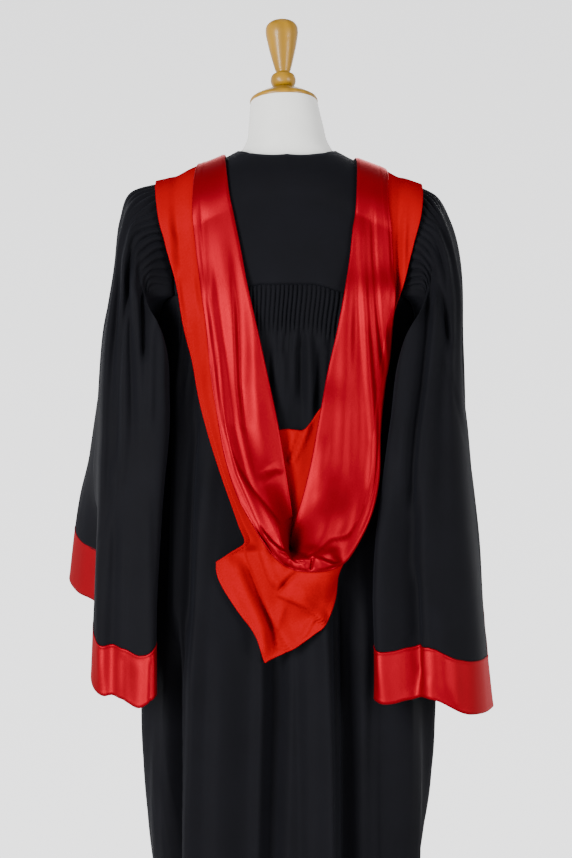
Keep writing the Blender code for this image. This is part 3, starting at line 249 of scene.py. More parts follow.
LEFT_SLEEVE = named(
    RING_COLUMNS,
    (0.035, (0.214, 0.0, 1.443), (0.212, -0.038, 1.435), (0.206, -0.074, 1.413),
     (0.202, -0.101, 1.358), (0.207, -0.116, 1.3), (0.217, 0.0, 1.19),
     (0.2, 0.11, 1.335), (0.206, 0.078, 1.409)),
    (0.07, (0.248, 0.0, 1.433), (0.246, -0.044, 1.422), (0.238, -0.084, 1.395),
     (0.23, -0.112, 1.342), (0.219, -0.126, 1.28), (0.223, 0.0, 1.17),
     (0.222, 0.122, 1.318), (0.238, 0.086, 1.391)),
    (0.125, (0.266, 0.0, 1.39), (0.264, -0.051, 1.378), (0.256, -0.098, 1.348),
     (0.241, -0.128, 1.3), (0.214, -0.14, 1.246), (0.226, 0.0, 1.147),
     (0.232, 0.128, 1.282), (0.257, 0.088, 1.348)),
    (0.2, (0.275, 0.0, 1.32), (0.272, -0.056, 1.306), (0.264, -0.108, 1.276),
     (0.238, -0.14, 1.244), (0.196, -0.148, 1.208), (0.226, 0.0, 1.108),
     (0.24, 0.128, 1.228), (0.27, 0.088, 1.284)),
    (0.34, (0.292, 0.0, 1.205), (0.288, -0.062, 1.19), (0.276, -0.118, 1.158),
     (0.238, -0.152, 1.14), (0.19, -0.162, 1.118), (0.222, 0.0, 1.05),
     (0.258, 0.13, 1.148), (0.29, 0.088, 1.186)),
    (0.63, (0.318, 0.008, 1.0), (0.298, -0.055, 0.966), (0.288, -0.122, 0.936),
     (0.246, -0.158, 0.92), (0.199, -0.173, 0.918), (0.244, 0.0, 0.925),
     (0.294, 0.126, 1.01), (0.32, 0.08, 1.02)),
    (0.915, (0.334, 0.028, 0.868), (0.291, -0.032, 0.84), (0.3, -0.116, 0.745),
     (0.248, -0.16, 0.716), (0.205, -0.174, 0.722), (0.262, 0.0, 0.776),
     (0.32, 0.12, 0.908), (0.346, 0.08, 0.902)),
    (1.0, (0.341, 0.03, 0.788), (0.296, -0.03, 0.762), (0.303, -0.115, 0.669),
     (0.248, -0.161, 0.64), (0.205, -0.175, 0.648), (0.263, 0.0, 0.7),
     (0.326, 0.12, 0.832), (0.356, 0.08, 0.82)),
)
# Troughs down a sleeve: place round it and part of its length at both ends, half width in girths, depth.
# At the hem a trough also rises, by HEM_LIFT times its depth, as far as MOST_LIFTED.
HEM_LIFT = 0.35
MOST_LIFTED = 0.004
TROUGH_COLUMNS = "place_top along_top place_low along_low half_width depth"
RIGHT_TROUGHS = named(
    TROUGH_COLUMNS,
    (0.15, 0.1, 0.175, 0.62, 0.03, 0.01),
    (0.228, 0.45, 0.232, 1.15, 0.034, 0.026),
    (0.08, 0.11, 0.06, 0.4, 0.022, 0.007),
    (0.8, 0.12, 0.83, 0.7, 0.03, 0.009),
    (0.93, 0.12, 0.95, 0.85, 0.026, 0.006),
)
LEFT_TROUGHS = named(
    TROUGH_COLUMNS,
    (0.11, 0.1, 0.14, 0.6, 0.026, 0.009),
    (0.165, 0.55, 0.168, 1.15, 0.022, 0.008),
    (0.18, 0.12, 0.2, 0.44, 0.02, 0.008),
    (0.8, 0.12, 0.83, 0.7, 0.03, 0.009),
    (0.94, 0.14, 0.96, 0.8, 0.026, 0.006),
)

# Where the back of each sleeve's hem rises, or hangs lower: pixel, reach to the left and right, and height
HEM_WAVES = {-1: (140, 18, 20, -0.009), 1: (431, 30, 42, 0.020)}
HEAD_PUFFS = 7.5
PUFF_DEPTH = 0.0045

# The hood from its front end, over the left shoulder, down the back and up over the right shoulder.
# Each row crosses its strip: the free edge, the rim where the satin starts, and the satin's inner edge.
# Front rows are on the chest. The three out columns stand those lines off the gown.
HOOD = named(
    "side edge_x edge_z rim_x rim_z inner_x inner_z edge_out rim_out inner_out",
    ("front", -0.004, 1.268, -0.004, 1.296, -0.004, 1.335, 0.0028, 0.004, 0.004),
    ("front", -0.072, 1.315, -0.048, 1.345, -0.036, 1.378, 0.0028, 0.004, 0.004),
    ("front", -0.142, 1.378, -0.098, 1.405, -0.069, 1.428, 0.0028, 0.004, 0.004),
    ("front", -0.19, 1.425, -0.132, 1.455, -0.09, 1.478, 0.005, 0.004, 0.004),
    ("back", -0.205, 1.444, -0.14, 1.47, -0.097, 1.489, 0.005, 0.004, 0.004),
    ("back", -0.2, 1.388, -0.147, 1.402, -0.0905, 1.428, 0.005, 0.005, 0.004),
    ("back", -0.19, 1.345, -0.142, 1.34, -0.0815, 1.381, 0.005, 0.006, 0.005),
    ("back", -0.177, 1.292, -0.134, 1.283, -0.072, 1.335, 0.0028, 0.008, 0.006),
    ("back", -0.164, 1.216, -0.125, 1.221, -0.0595, 1.27, 0.0028, 0.01, 0.008),
    ("back", -0.149, 1.16, -0.115, 1.137, -0.0425, 1.195, 0.0028, 0.014, 0.01),
    ("back", -0.136, 1.1, -0.1035, 1.071, -0.027, 1.124, 0.0028, 0.022, 0.012),
    ("back", -0.113, 1.022, -0.09, 1.004, -0.012, 1.052, 0.0028, 0.032, 0.014),
    ("back", -0.093, 0.962, -0.0705, 0.947, -0.0015, 0.989, 0.0028, 0.044, 0.014),
    ("back", -0.074, 0.908, -0.0425, 0.897, 0.0075, 0.928, 0.0028, 0.056, 0.013),
    ("back", -0.064, 0.884, -0.036, 0.886, 0.007, 0.919, 0.007, 0.058, 0.013),
    ("back", -0.072, 0.874, -0.03, 0.877, 0.0062, 0.909, 0.007, 0.059, 0.013),
    ("back", -0.102, 0.8545, -0.0235, 0.868, 0.0054, 0.899, 0.007, 0.061, 0.013),
    ("back", -0.1057, 0.85, -0.0175, 0.861, 0.0048, 0.893, 0.007, 0.062, 0.013),
    ("back", -0.102, 0.825, -0.011, 0.855, 0.0042, 0.888, 0.007, 0.062, 0.013),
    ("back", -0.0765, 0.781, -0.003, 0.849, 0.0034, 0.882, 0.007, 0.063, 0.013),
    ("back", -0.047, 0.74, 0.005, 0.8455, 0.0024, 0.877, 0.007, 0.064, 0.013),
    ("back", -0.036, 0.705, 0.0125, 0.843, 0.0015, 0.874, 0.007, 0.064, 0.013),
    ("back", -0.033, 0.699, 0.019, 0.842, 0.001, 0.873, 0.007, 0.064, 0.013),
    ("back", -0.027, 0.703, 0.025, 0.8415, 0.0012, 0.8735, 0.007, 0.064, 0.013),
    ("back", 0.006, 0.719, 0.037, 0.841, 0.0016, 0.875, 0.007, 0.063, 0.013),
    ("back", 0.042, 0.745, 0.051, 0.842, 0.0023, 0.878, 0.007, 0.063, 0.013),
    ("back", 0.057, 0.759, 0.061, 0.844, 0.003, 0.88, 0.007, 0.062, 0.013),
    ("back", 0.072, 0.798, 0.076, 0.85, 0.0068, 0.893, 0.007, 0.06, 0.013),
    ("back", 0.08, 0.85, 0.09, 0.862, 0.012, 0.913, 0.007, 0.056, 0.013),
    ("back", 0.102, 0.92, 0.119, 0.918, 0.0245, 0.955, 0.0028, 0.046, 0.014),
    ("back", 0.116, 0.98, 0.1345, 0.978, 0.036, 1.004, 0.0028, 0.036, 0.014),
    ("back", 0.122, 1.052, 0.14, 1.052, 0.048, 1.069, 0.0028, 0.028, 0.013),
    ("back", 0.136, 1.12, 0.1495, 1.121, 0.062, 1.143, 0.0028, 0.021, 0.011),
    ("back", 0.154, 1.175, 0.16, 1.174, 0.076, 1.204, 0.0028, 0.015, 0.009),
    ("back", 0.174, 1.25, 0.166, 1.25, 0.089, 1.273, 0.0028, 0.01, 0.008),
    ("back", 0.186, 1.299, 0.166, 1.309, 0.096, 1.316, 0.005, 0.008, 0.006),
    ("back", 0.197, 1.344, 0.1625, 1.366, 0.101, 1.361, 0.005, 0.006, 0.005),
    ("back", 0.208, 1.398, 0.157, 1.417, 0.107, 1.407, 0.005, 0.005, 0.004),
    ("back", 0.211, 1.442, 0.155, 1.466, 0.108, 1.485, 0.005, 0.004, 0.004),
    ("front", 0.19, 1.425, 0.138, 1.45, 0.094, 1.476, 0.005, 0.004, 0.004),
    ("front", 0.142, 1.378, 0.098, 1.405, 0.069, 1.428, 0.0028, 0.004, 0.004),
    ("front", 0.072, 1.315, 0.048, 1.345, 0.036, 1.378, 0.0028, 0.004, 0.004),
    ("front", 0.004, 1.268, 0.004, 1.296, 0.004, 1.335, 0.0028, 0.004, 0.004),
)
# The satin's roll: how wide and how high it is along a plain rim, at the lip, and at the lip's right end
RIM_REACH = 0.012
LIP_REACH = 0.034
LIP_END_REACH = 0.014
RIM_ROLL = 0.0006
LIP_ROLL = 0.0065
# The base surface under the hood is this wide, so that the hood doesn't bend round the body's sides
HOOD_HALF_WIDTH = 0.3
HOOD_STEP = 0.0046
RIM_TUCK = 0.001

# The layer of the hood that shows inside the cowl: left and right edges over height. Its top edge
# rises on the right by HOOD_BACK_RISE.
HOOD_BACK_RISE = 0.044
HOOD_BACK = named(
    "z left right",
    (1.054, -0.06, 0.095),
    (0.99, -0.052, 0.092),
    (0.93, -0.032, 0.08),
    (0.88, -0.01, 0.056),
)

# The dress form: sections from its flat underside to the top of its neck. lean tilts a section forward.
FORM_POWER = 2.2
FORM = named(
    "z half_width back front shift_x shift_y lean",
    (0.74, 0.146, 0.098, 0.102),
    (0.76, 0.16, 0.108, 0.114),
    (0.8, 0.168, 0.112, 0.118),
    (0.86, 0.168, 0.112, 0.116),
    (0.94, 0.15, 0.1, 0.103),
    (1.02, 0.13, 0.09, 0.093),
    (1.1, 0.134, 0.094, 0.104),
    (1.19, 0.148, 0.102, 0.121),
    (1.27, 0.16, 0.106, 0.121),
    (1.34, 0.17, 0.104, 0.11),
    (1.395, 0.175, 0.098, 0.1),
    (1.428, 0.174, 0.09, 0.092),
    (1.4498, 0.168, 0.084, 0.086),
    (1.4654, 0.149, 0.076, 0.078),
    (1.478, 0.12, 0.07, 0.073),
    (1.488, 0.0965, 0.067, 0.071),
    (1.4978, 0.0785, 0.065, 0.068, 0.0, 0.001, 0.0),
    (1.512, 0.068, 0.065, 0.066, 0.0, 0.003, 0.0),
    (1.545, 0.06, 0.059, 0.059, -0.002, 0.006, 0.08),
    (1.58, 0.0545, 0.0545, 0.0545, -0.005, 0.01, 0.16),
)

# Turned wood, as profiles of radius and height from top to bottom
PROFILE_COLUMNS = "radius z"
CAP_PROFILE = named(
    PROFILE_COLUMNS,
    (0.0, 0.027),
    (0.012, 0.0262),
    (0.026, 0.0228),
    (0.04, 0.0168),
    (0.05, 0.0108),
    (0.0545, 0.007),
    (0.0552, 0.0036),
    (0.054, 0.0003),
    (0.0, 0.0003),
)
FINIAL_PROFILE = named(
    PROFILE_COLUMNS,
    (0.0, 0.142),
    (0.013, 0.1406),
    (0.0215, 0.1368),
    (0.0258, 0.131),
    (0.0266, 0.124),
    (0.0238, 0.104),
    (0.018, 0.078),
    (0.013, 0.059),
    (0.0112, 0.0525),
    (0.018, 0.0488),
    (0.0204, 0.042),
    (0.0196, 0.035),
    (0.015, 0.029),
    (0.009, 0.0274),
    (0.0, 0.0274),
)
CAP_SEAT = Vector((-0.005, 0.01, 1.5798))
CAP_LEAN = math.atan(0.16)
CAP_SIDE_LEAN = math.radians(-1.5)
FORM_SEAMS = (0.0, math.pi / 2, math.pi, 3 * math.pi / 2)
FORM_SEAMS_END = 1.47
FORM_SEAM_DEPTH = 0.0009
FORM_SEAM_REACH = 0.022
BASE_PROFILE = named(
    PROFILE_COLUMNS,
    (0.0, 0.025),
    (0.164, 0.025),
    (0.174, 0.0222),
    (0.179, 0.016),
    (0.18, 0.01),
    (0.178, 0.0),
    (0.0, 0.0),
)
POLE_RADIUS = 0.015

BLACK = (0.00095, 0.00095, 0.0015)
RED = (0.124, 0.0, 0.0016)
SATIN_RED = (0.1, 0.0, 0.003)
JERSEY = (0.3, 0.3, 0.288)
WOOD = (0.11, 0.055, 0.0015)
FLOOR = (0.74, 0.73, 0.72)

# Creases and soft folds, drawn as the photograph's camera sees them from an azimuth: 0 is the photograph's
# own side, 180 the front, 90 the right and -90 the left. line is pixels from one end to the other. left and
# right are its reach to both sides in pixels, or above and below if the line is wider than it is high.
# height is in metres, and fade is the part of the line over which it begins, and over which it ends.
Crease = namedtuple("Crease", "line left right height fade piece azimuth")
CREASE_GROUPS = (
    # The gathers below the fluting in the middle of the back
    ("back", 0, (
        (((270, 322), (271, 345), (269, 400)), 5, 6, -0.005, 0.3),
        (((278, 330), (278, 380), (276, 440)), 7, 7, 0.0035, 0.25),
        (((286, 322), (285, 336), (284, 362)), 4, 4, -0.0045, 0.35),
        (((292, 332), (292, 372), (290, 420)), 6, 6, 0.003, 0.3),
        (((302, 322), (299, 350), (300, 410)), 6, 7, -0.0055, 0.3),
        (((311, 330), (310, 375), (309, 430)), 8, 8, 0.004, 0.25),
        (((324, 330), (320, 365), (317, 420)), 6, 7, -0.0055, 0.3),
        (((333, 335), (331, 380), (328, 430)), 8, 8, 0.003, 0.3),
        (((258, 330), (261, 360), (262, 400)), 6, 6, -0.0035, 0.35),
    )),
    # Between the left sleeve and the hood
    ("back", 0, (
        (((167, 300), (166, 400), (168, 560), (170, 700)), 9, 10, -0.007, 0.12),
        (((184, 290), (182, 420), (180, 560), (178, 690)), 8, 11, 0.006, 0.15),
        (((199, 400), (193, 470), (190, 540), (187, 620), (184, 700)), 7, 5, -0.005, 0.15),
        (((212, 430), (206, 520), (200, 620), (197, 740)), 9, 14, 0.004, 0.2),
    )),
    # The skirt
    ("back", 0, (
        (((177, 600), (178, 760), (180, 900), (182, 1010)), 15, 5, -0.024, 0.2),
        (((188, 600), (188, 760), (189, 900), (191, 1010)), 3.5, 24, 0.015, 0.2),
        (((226, 620), (223, 780), (220, 1010)), 18, 26, 0.008, 0.3),
        (((273, 560), (274, 700), (270, 858), (266, 1010)), 14, 20, -0.03, 0.2),
        (((306, 600), (309, 740), (311, 1010)), 13, 16, 0.009, 0.3),
        (((329, 560), (330, 740), (330, 900), (329, 1010)), 18, 4, 0.015, 0.2),
        (((342, 560), (344, 700), (346, 1010)), 6, 24, -0.023, 0.2),
        (((398, 560), (400, 740), (398, 1010)), 22, 22, 0.0064, 0.3),
        (((372, 620), (369, 780), (368, 1010)), 9, 9, -0.0048, 0.3),
        (((155, 700), (158, 820), (166, 1010)), 8, 8, 0.008, 0.3),
        (((418, 660), (414, 800), (404, 1010)), 8, 8, 0.0064, 0.3),
    )),
    # The left sleeve's back
    ("left", 0, (
        (((134, 245), (127, 290), (121, 330), (118, 380), (117, 480)), 10, 6, -0.015, 0.14),
        (((124, 330), (121, 430), (116, 520)), 4, 12, 0.006, 0.25),
        (((148, 268), (143, 305), (145, 365)), 6, 6, -0.013, 0.22),
        (((154, 285), (151, 350), (149, 440)), 6, 7, 0.006, 0.25),
        (((112, 270), (106, 330), (101, 420), (99, 520)), 8, 10, 0.004, 0.25),
        (((118, 478), (108, 515), (97, 550)), 3, 3, -0.002, 0.2),
        (((95, 430), (97, 520), (98, 640), (99, 700)), 3, 10, 0.005, 0.15),
        (((133, 520), (130, 600), (128, 720)), 12, 14, -0.005, 0.25),
        (((146, 480), (148, 600), (150, 720)), 9, 9, 0.004, 0.25),
        (((123, 655), (123, 712)), 5, 5, -0.002, 0.1),
        (((138, 655), (138, 712)), 9, 8, 0.0018, 0.1),
        (((149.5, 655), (149.5, 712)), 2.5, 2.5, -0.0018, 0.1),
    )),
    # The right sleeve's back
    ("right", 0, (
        (((434, 262), (428, 290), (426, 330), (420, 385), (413, 430), (404, 520)), 7, 10, -0.015, 0.12),
        (((420, 285), (416, 330), (408, 400), (400, 480)), 12, 7, 0.006, 0.2),
        (((436, 266), (443, 310), (452, 355)), 6, 6, -0.011, 0.25),
        (((437, 345), (452, 385), (458, 410), (468, 455)), 3, 4, -0.0022, 0.2),
        (((436, 400), (434, 480), (436, 600)), 12, 16, 0.005, 0.3),
        (((382, 500), (378, 600), (384, 720)), 8, 9, 0.006, 0.25),
        (((412, 560), (413, 640), (414, 720)), 12, 10, -0.009, 0.25),
        (((440, 600), (446, 660), (450, 720)), 14, 16, 0.005, 0.25),
        (((413, 604), (420, 598), (428, 590)), 3, 3, -0.0014, 0.3),
        (((384, 646), (385, 712)), 2.5, 2.5, -0.0015, 0.1),
        (((391, 646), (392, 712)), 4, 4, 0.0022, 0.1),
        (((400, 642), (401, 704)), 5, 5, -0.003, 0.1),
        (((409, 640), (409, 696)), 3, 3, 0.0018, 0.1),
        (((418, 640), (418, 696)), 4, 4, 0.0024, 0.1),
        (((427, 645), (428, 698)), 4, 5, -0.0022, 0.1),
        (((414, 678), (416, 698)), 2, 2, -0.0018, 0.3),
        (((423, 680), (424, 700)), 2, 2, -0.0018, 0.3),
        (((455, 652), (457, 714)), 8, 9, 0.002, 0.1),
    )),
    # The sleeves from their outer sides
    ("both", 90, (
        (((240, 250), (246, 340), (250, 460), (252, 640)), 16, 14, -0.006, 0.2),
        (((300, 230), (306, 330), (318, 470)), 14, 16, -0.005, 0.25),
        (((272, 300), (276, 440), (280, 640)), 14, 16, 0.0045, 0.25),
        (((334, 260), (340, 380), (344, 520)), 10, 14, 0.0045, 0.25),
    )),
    # The sleeves and panels from the front
    ("both", 180, (
        (((118, 250), (112, 330), (108, 430), (106, 560)), 9, 10, -0.008, 0.2),
        (((455, 250), (461, 330), (465, 430), (467, 560)), 9, 10, -0.008, 0.2),
        (((140, 270), (138, 360), (133, 480)), 9, 9, 0.005, 0.25),
        (((434, 270), (436, 360), (441, 480)), 9, 9, 0.005, 0.25),
    )),
    ("front", 180, (
        (((196, 240), (192, 420), (186, 700), (180, 1000)), 12, 10, -0.006, 0.15),
        (((378, 240), (382, 420), (388, 700), (394, 1000)), 10, 12, -0.006, 0.15),
        (((226, 420), (224, 640), (222, 1000)), 10, 14, 0.005, 0.25),
        (((350, 440), (352, 660), (356, 1000)), 14, 10, 0.005, 0.25),
    )),
    # The hood's tail
    ("shell", 0, (
        (((243, 538), (250, 565), (258, 586), (265, 603), (273, 620), (281, 636), (291, 658)),
         1.6, 20, 0.012, 0.15),
        (((247, 560), (250, 566), (257, 584), (264, 602), (271, 619), (276, 634), (279, 660)),
         5, 1.6, -0.006, 0.15),
        (((257, 530), (263, 557), (268, 573), (276, 592)), 4, 12, 0.01, 0.2),
        (((276, 594), (284, 586), (291, 579), (300, 573)), 9, 3, -0.009, 0.15),
        (((274, 593), (285, 598), (297, 603), (305, 607), (316, 616), (328, 625)), 18, 2.2, 0.013, 0.12),
        (((318, 614), (311, 624), (303, 640)), 8, 2.5, 0.004, 0.2),
        (((234, 552), (239, 572), (246, 590), (254, 608), (261, 626), (266, 664)), 18, 12, 0.013, 0.16),
        (((333, 575), (329, 598), (322, 616)), 12, 8, 0.003, 0.25),
    )),
    # The satin on the left: its rolled rim, the pocket beside it and a wrinkle
    ("lining", 0, (
        (((206, 240), (211, 300), (218, 350), (222, 385), (227, 425), (239, 473), (259, 521), (281, 560)),
         7, 8, 0.006, 0.36),
        (((220, 385), (225, 430), (236, 475), (255, 520), (274, 550)), 2.5, 2.5, -0.0014, 0.2),
        (((232, 240), (238, 310), (241, 385), (245, 425), (254, 465), (264, 500)), 6, 16, -0.01, 0.42),
        (((212, 190), (222, 260), (232, 320), (243, 400), (250, 450)), 12, 14, 0.0028, 0.4),
        (((200, 190), (203, 250), (208, 310)), 6, 8, -0.0018, 0.3),
        (((256, 478), (265, 472), (275, 469), (286, 468)), 4, 2.5, -0.003, 0.25),
        (((256, 485), (266, 479), (276, 476), (286, 475)), 4, 6, 0.0018, 0.25),
    )),
    # The satin on the right: long streaks down its length and the rim's roll
    ("lining", 0, (
        (((353, 250), (348, 330), (344, 400), (342, 450), (341, 505)), 12, 9, 0.0034, 0.2),
        (((361, 200), (362, 260), (364, 330)), 8, 7, 0.003, 0.3),
        (((356, 250), (358, 330), (359, 390), (360, 440), (356, 505)), 9, 8, -0.003, 0.4),
        (((364, 250), (366, 330), (371, 394), (374, 441), (370, 489), (360, 516), (348, 545)),
         7, 6, 0.0046, 0.34),
        (((372, 195), (374, 250), (377, 300), (381, 340), (386, 385)), 5, 5, -0.0036, 0.2),
        (((386, 200), (388, 260), (390, 330)), 6, 6, 0.0018, 0.25),
        (((380, 420), (377, 470), (369, 510), (356, 543)), 3, 3, -0.0016, 0.2),
        (((326, 430), (318, 480), (308, 515)), 10, 9, 0.0022, 0.3),
    )),
    # The rolled lip at the bottom of the cowl, and the pleat that is sewn in its middle
    ("lining", 0, (
        (((258, 524), (268, 539), (280, 550), (292, 555), (308, 556)), 3, 20, 0.009, 0.15),
        (((310, 556), (322, 560), (334, 565), (346, 563)), 3, 12, 0.005, 0.15),
        (((276, 550), (287, 556), (297, 561), (306, 563)), 2, 2.5, -0.002, 0.2),
        (((288, 541), (306, 543), (326, 546), (345, 542)), 34, 10, -0.005, 0.25),
        (((314, 554), (312, 562), (309, 580)), 2.5, 2.0, -0.005, 0.25),
        (((308, 552), (306, 562), (304, 580)), 7, 4, 0.0022, 0.25),
        (((319, 552), (319, 562), (320, 578)), 5, 9, 0.0018, 0.25),
    )),
    # The layer inside the cowl
    ("inner", 0, (
        (((285, 424), (285, 440), (284, 462)), 4, 4, -0.0045, 0.2),
        (((307, 420), (304, 433), (297, 450), (290, 466)), 3, 7, 0.008, 0.15),
        (((302, 424), (299, 436), (292, 450), (286, 466)), 3, 3, -0.005, 0.15),
        (((294, 428), (293, 440), (290, 456)), 4, 4, 0.003, 0.25),
        (((318, 410), (312, 440), (304, 480)), 6, 6, -0.003, 0.25),
    )),
    # The hood's front, over the chest
    ("hood", 180, (
        (((214, 210), (222, 240), (236, 270), (256, 295)), 6, 8, 0.003, 0.2),
        (((360, 210), (352, 240), (338, 270), (318, 295)), 8, 6, 0.003, 0.2),
    )),
)
CREASES = [Crease(*row, piece, azimuth) for piece, azimuth, rows in CREASE_GROUPS for row in rows]


class Track:
    """A smooth path through a table: each row is its key and then its values."""

    def __init__(self, rows):
        table = np.array(sorted(([float(v) for v in row] for row in rows), key=lambda row: row[0]))
        self.keys, self.values = table[:, 0], table[:, 1:]
        steps = np.diff(self.keys)[:, None]
        rates = np.diff(self.values, axis=0) / steps
        inner = (rates[:-1] * steps[1:] + rates[1:] * steps[:-1]) / (steps[:-1] + steps[1:])
        self.slopes = np.vstack([rates[:1], inner, rates[-1:]])

    def at(self, key):
        """The values at a key, or at each key of an array."""
        key = np.clip(np.asarray(key, dtype=float), self.keys[0], self.keys[-1])
        index = np.clip(np.searchsorted(self.keys, key) - 1, 0, len(self.keys) - 2)
        step = (self.keys[index + 1] - self.keys[index])[..., None]
        t = (key - self.keys[index])[..., None] / step
        start, end = self.values[index], self.values[index + 1]
        leaving, reaching = self.slopes[index] * step, self.slopes[index + 1] * step
        first = start * (2 * t**3 - 3 * t**2 + 1) + leaving * (t**3 - 2 * t**2 + t)
        return first + (end * (3 * t**2 - 2 * t**3) + reaching * (t**3 - t**2))


def unit(vectors):
    """Vectors made one long."""
    return vectors / np.maximum(np.linalg.norm(vectors, axis=-1, keepdims=True), 1e-12)


def lengths_along(points):
    """Distance along a path at each of its points."""
    return np.concatenate([[0.0], np.cumsum(np.linalg.norm(np.diff(points, axis=0), axis=1))])


def bell(away):
    """1 in the middle and 0 from a distance of 1 outwards."""
    return 0.5 * (1 + np.cos(math.pi * np.minimum(np.abs(away), 1.0)))


def ease(low, high, value):
    """0 below low, 1 above high, and a smooth change between."""
    t = np.clip((np.asarray(value, dtype=float) - low) / (high - low), 0.0, 1.0)
    return t * t * (3 - 2 * t)


def mix(a, b, t):
    """The value at t on the way from a to b."""
    return a + (b - a) * t


body_track = Track(BODY)
ridge_track = Track(RIDGE)
armhole_track = Track(ARMHOLE)
front_edge_track = Track(FRONT_EDGE)
neck_track = Track(NECK_EDGE)


def plan_arc():
    """Angles along a quarter of the plan curve, their parts of its length, and that length for width 1."""
    angles = np.linspace(0, math.pi / 2, 401)
    power = 2 / PLAN_POWER
    points = np.stack([np.sin(angles) ** power, PLAN_ASPECT * np.maximum(np.cos(angles), 0) ** power], -1)
    lengths = lengths_along(points)
    return angles, lengths / lengths[-1], lengths[-1]


ARC_ANGLES, ARC_PARTS, QUARTER = plan_arc()


def turn_of_x(x, z):
    """The quarter turn at which the body at height z is x from the middle."""
    share = np.minimum(np.abs(x) / body_track.at(z)[..., 0], 1.0)
    return np.interp(np.arcsin(share ** (PLAN_POWER / 2)), ARC_ANGLES, ARC_PARTS)


def body_points(turn, z, back_side=True):
    """Points of the body, at a quarter turn of 0 (middle) to 1 (side seam), either way, and a height."""
    half_width, back, front = np.moveaxis(body_track.at(z), -1, 0)
    angle = np.interp(np.abs(turn), ARC_PARTS, ARC_ANGLES)
    power = 2 / PLAN_POWER
    x = np.sign(turn) * half_width * np.sin(angle) ** power
    top = ridge_track.at(np.abs(x))[..., 0]
    arc = body_track.at(top - ARC_DROP)
    rise = np.clip((z - top + ARC_DROP) / ARC_DROP, 0.0, 1.0)
    flat = np.sqrt(1 - rise * rise)
    over = z > top - ARC_DROP
    low, column, sign = (back, 1, -1) if back_side else (front, 2, 1)
    depth = np.where(over, arc[..., column] * flat, low) * np.maximum(np.cos(angle), 0.0) ** power
    return np.stack([x, sign * depth, z + 0 * x], -1)


def drape_points(x, length, half_width=None):
    """Points at x and a length down from the shoulder line: positive on the back, negative on the front."""
    x, length = np.broadcast_arrays(np.asarray(x, dtype=float), np.asarray(length, dtype=float))
    top = ridge_track.at(np.abs(x))[..., 0]
    turn = np.minimum(np.abs(length) / ARC_REACH, math.pi / 2)
    drop = ARC_DROP * (1 - np.cos(turn)) + np.maximum(0.0, np.abs(length) - ARC_REACH * math.pi / 2)
    z = top - drop
    section = body_track.at(np.minimum(z, top - ARC_DROP))
    width = section[..., 0] if half_width is None else half_width
    share = np.maximum(1 - (np.abs(x) / width) ** PLAN_POWER, 0.0) ** (1 / PLAN_POWER)
    depth = np.where(length >= 0, section[..., 1], section[..., 2]) * share * np.sin(turn)
    return np.stack([x, np.where(length >= 0, -depth, depth), z], -1)


def length_at(x, z):
    """The length down from the shoulder line to height z."""
    drop = np.maximum(ridge_track.at(np.abs(x))[..., 0] - z, 0.0)
    curved = ARC_REACH * np.arccos(1 - np.minimum(drop, ARC_DROP) / ARC_DROP)
    return curved + np.maximum(drop - ARC_DROP, 0.0)


def armhole_drop(turn):
    """Height of the armhole seam between the yoke's corner and the underarm."""
    return mix(YOKE_CORNER_Z, UNDERARM_Z, ease(CORNER_TURN, 1.0, np.abs(turn)))


CORNER_X = float(armhole_track.at(length_at(0.175, YOKE_CORNER_Z))[0])
CORNER_TURN = float(turn_of_x(CORNER_X, YOKE_CORNER_Z))


def armhole_path():
    """The right side's closed armhole seam, from the shoulder line by way of the back, with its lengths."""
    down = float(length_at(CORNER_X, YOKE_CORNER_Z)) * np.arange(31) / 30
    turns = mix(CORNER_TURN, 1.0, np.arange(1, 17) / 16)
    columns = armhole_track.at(down)[:, 0]
    drop = armhole_drop(turns)
    back = np.vstack([drape_points(columns, down), body_points(turns, drop)])
    above = drape_points(columns, -np.maximum(down, 1e-9))
    front = np.vstack([above, body_points(turns[:-1], drop[:-1], False)])
    points = np.vstack([back, front[::-1]])
    lengths = lengths_along(points)
    return points, lengths / lengths[-1]


ARMHOLE_POINTS, ARMHOLE_PARTS = armhole_path()


def armhole_points(place):
    """The armhole seam at parts of its girth."""
    place = np.mod(place, 1.0)
    return np.stack([np.interp(place, ARMHOLE_PARTS, ARMHOLE_POINTS[:, i]) for i in range(3)], -1)


def fold_heights(folds, around, z):
    """How far the long folds raise the cloth at a distance round from the middle and a height."""
    height = np.zeros_like(around)
    for fold in folds:
        t = (fold.z_top - z) / (fold.z_top - fold.z_low)
        away = around - mix(fold.round_top, fold.round_low, np.minimum(t, 1.25))
        shape = bell(away / np.where(away < 0, fold.left, fold.right))
        height += fold.height * ease(0.0, 0.7, t) * shape
    return height


def ribs(phase):
    """Rounded ribs with narrow grooves, from -1 to 1, with a rib's crest at each whole phase."""
    return 2 * np.abs(np.cos(math.pi * phase)) ** 0.75 - 1


def grid_normals(points):
    """Normals of a grid of points, rows by columns."""
    return unit(np.cross(np.gradient(points, axis=1), np.gradient(points, axis=0)))


def outward(points, normals, centre):
    """Normals turned away from a centre."""
    away = np.sum(normals * (points - centre), axis=-1)
    return normals if np.median(away) > 0 else -normals


def seen(points, azimuth):
    """Pixels at which the photograph's camera would see points, if it stood at an azimuth."""
    a = math.radians(azimuth)
    right = points[..., 0] * math.cos(a) + points[..., 1] * math.sin(a)
    ahead = points[..., 1] * math.cos(a) - points[..., 0] * math.sin(a)
    scale = FOCAL_PIXELS / (CAMERA_DISTANCE + ahead)
    return MIDDLE_X + right * scale, MIDDLE_Y + (CAMERA_Z - points[..., 2]) * scale


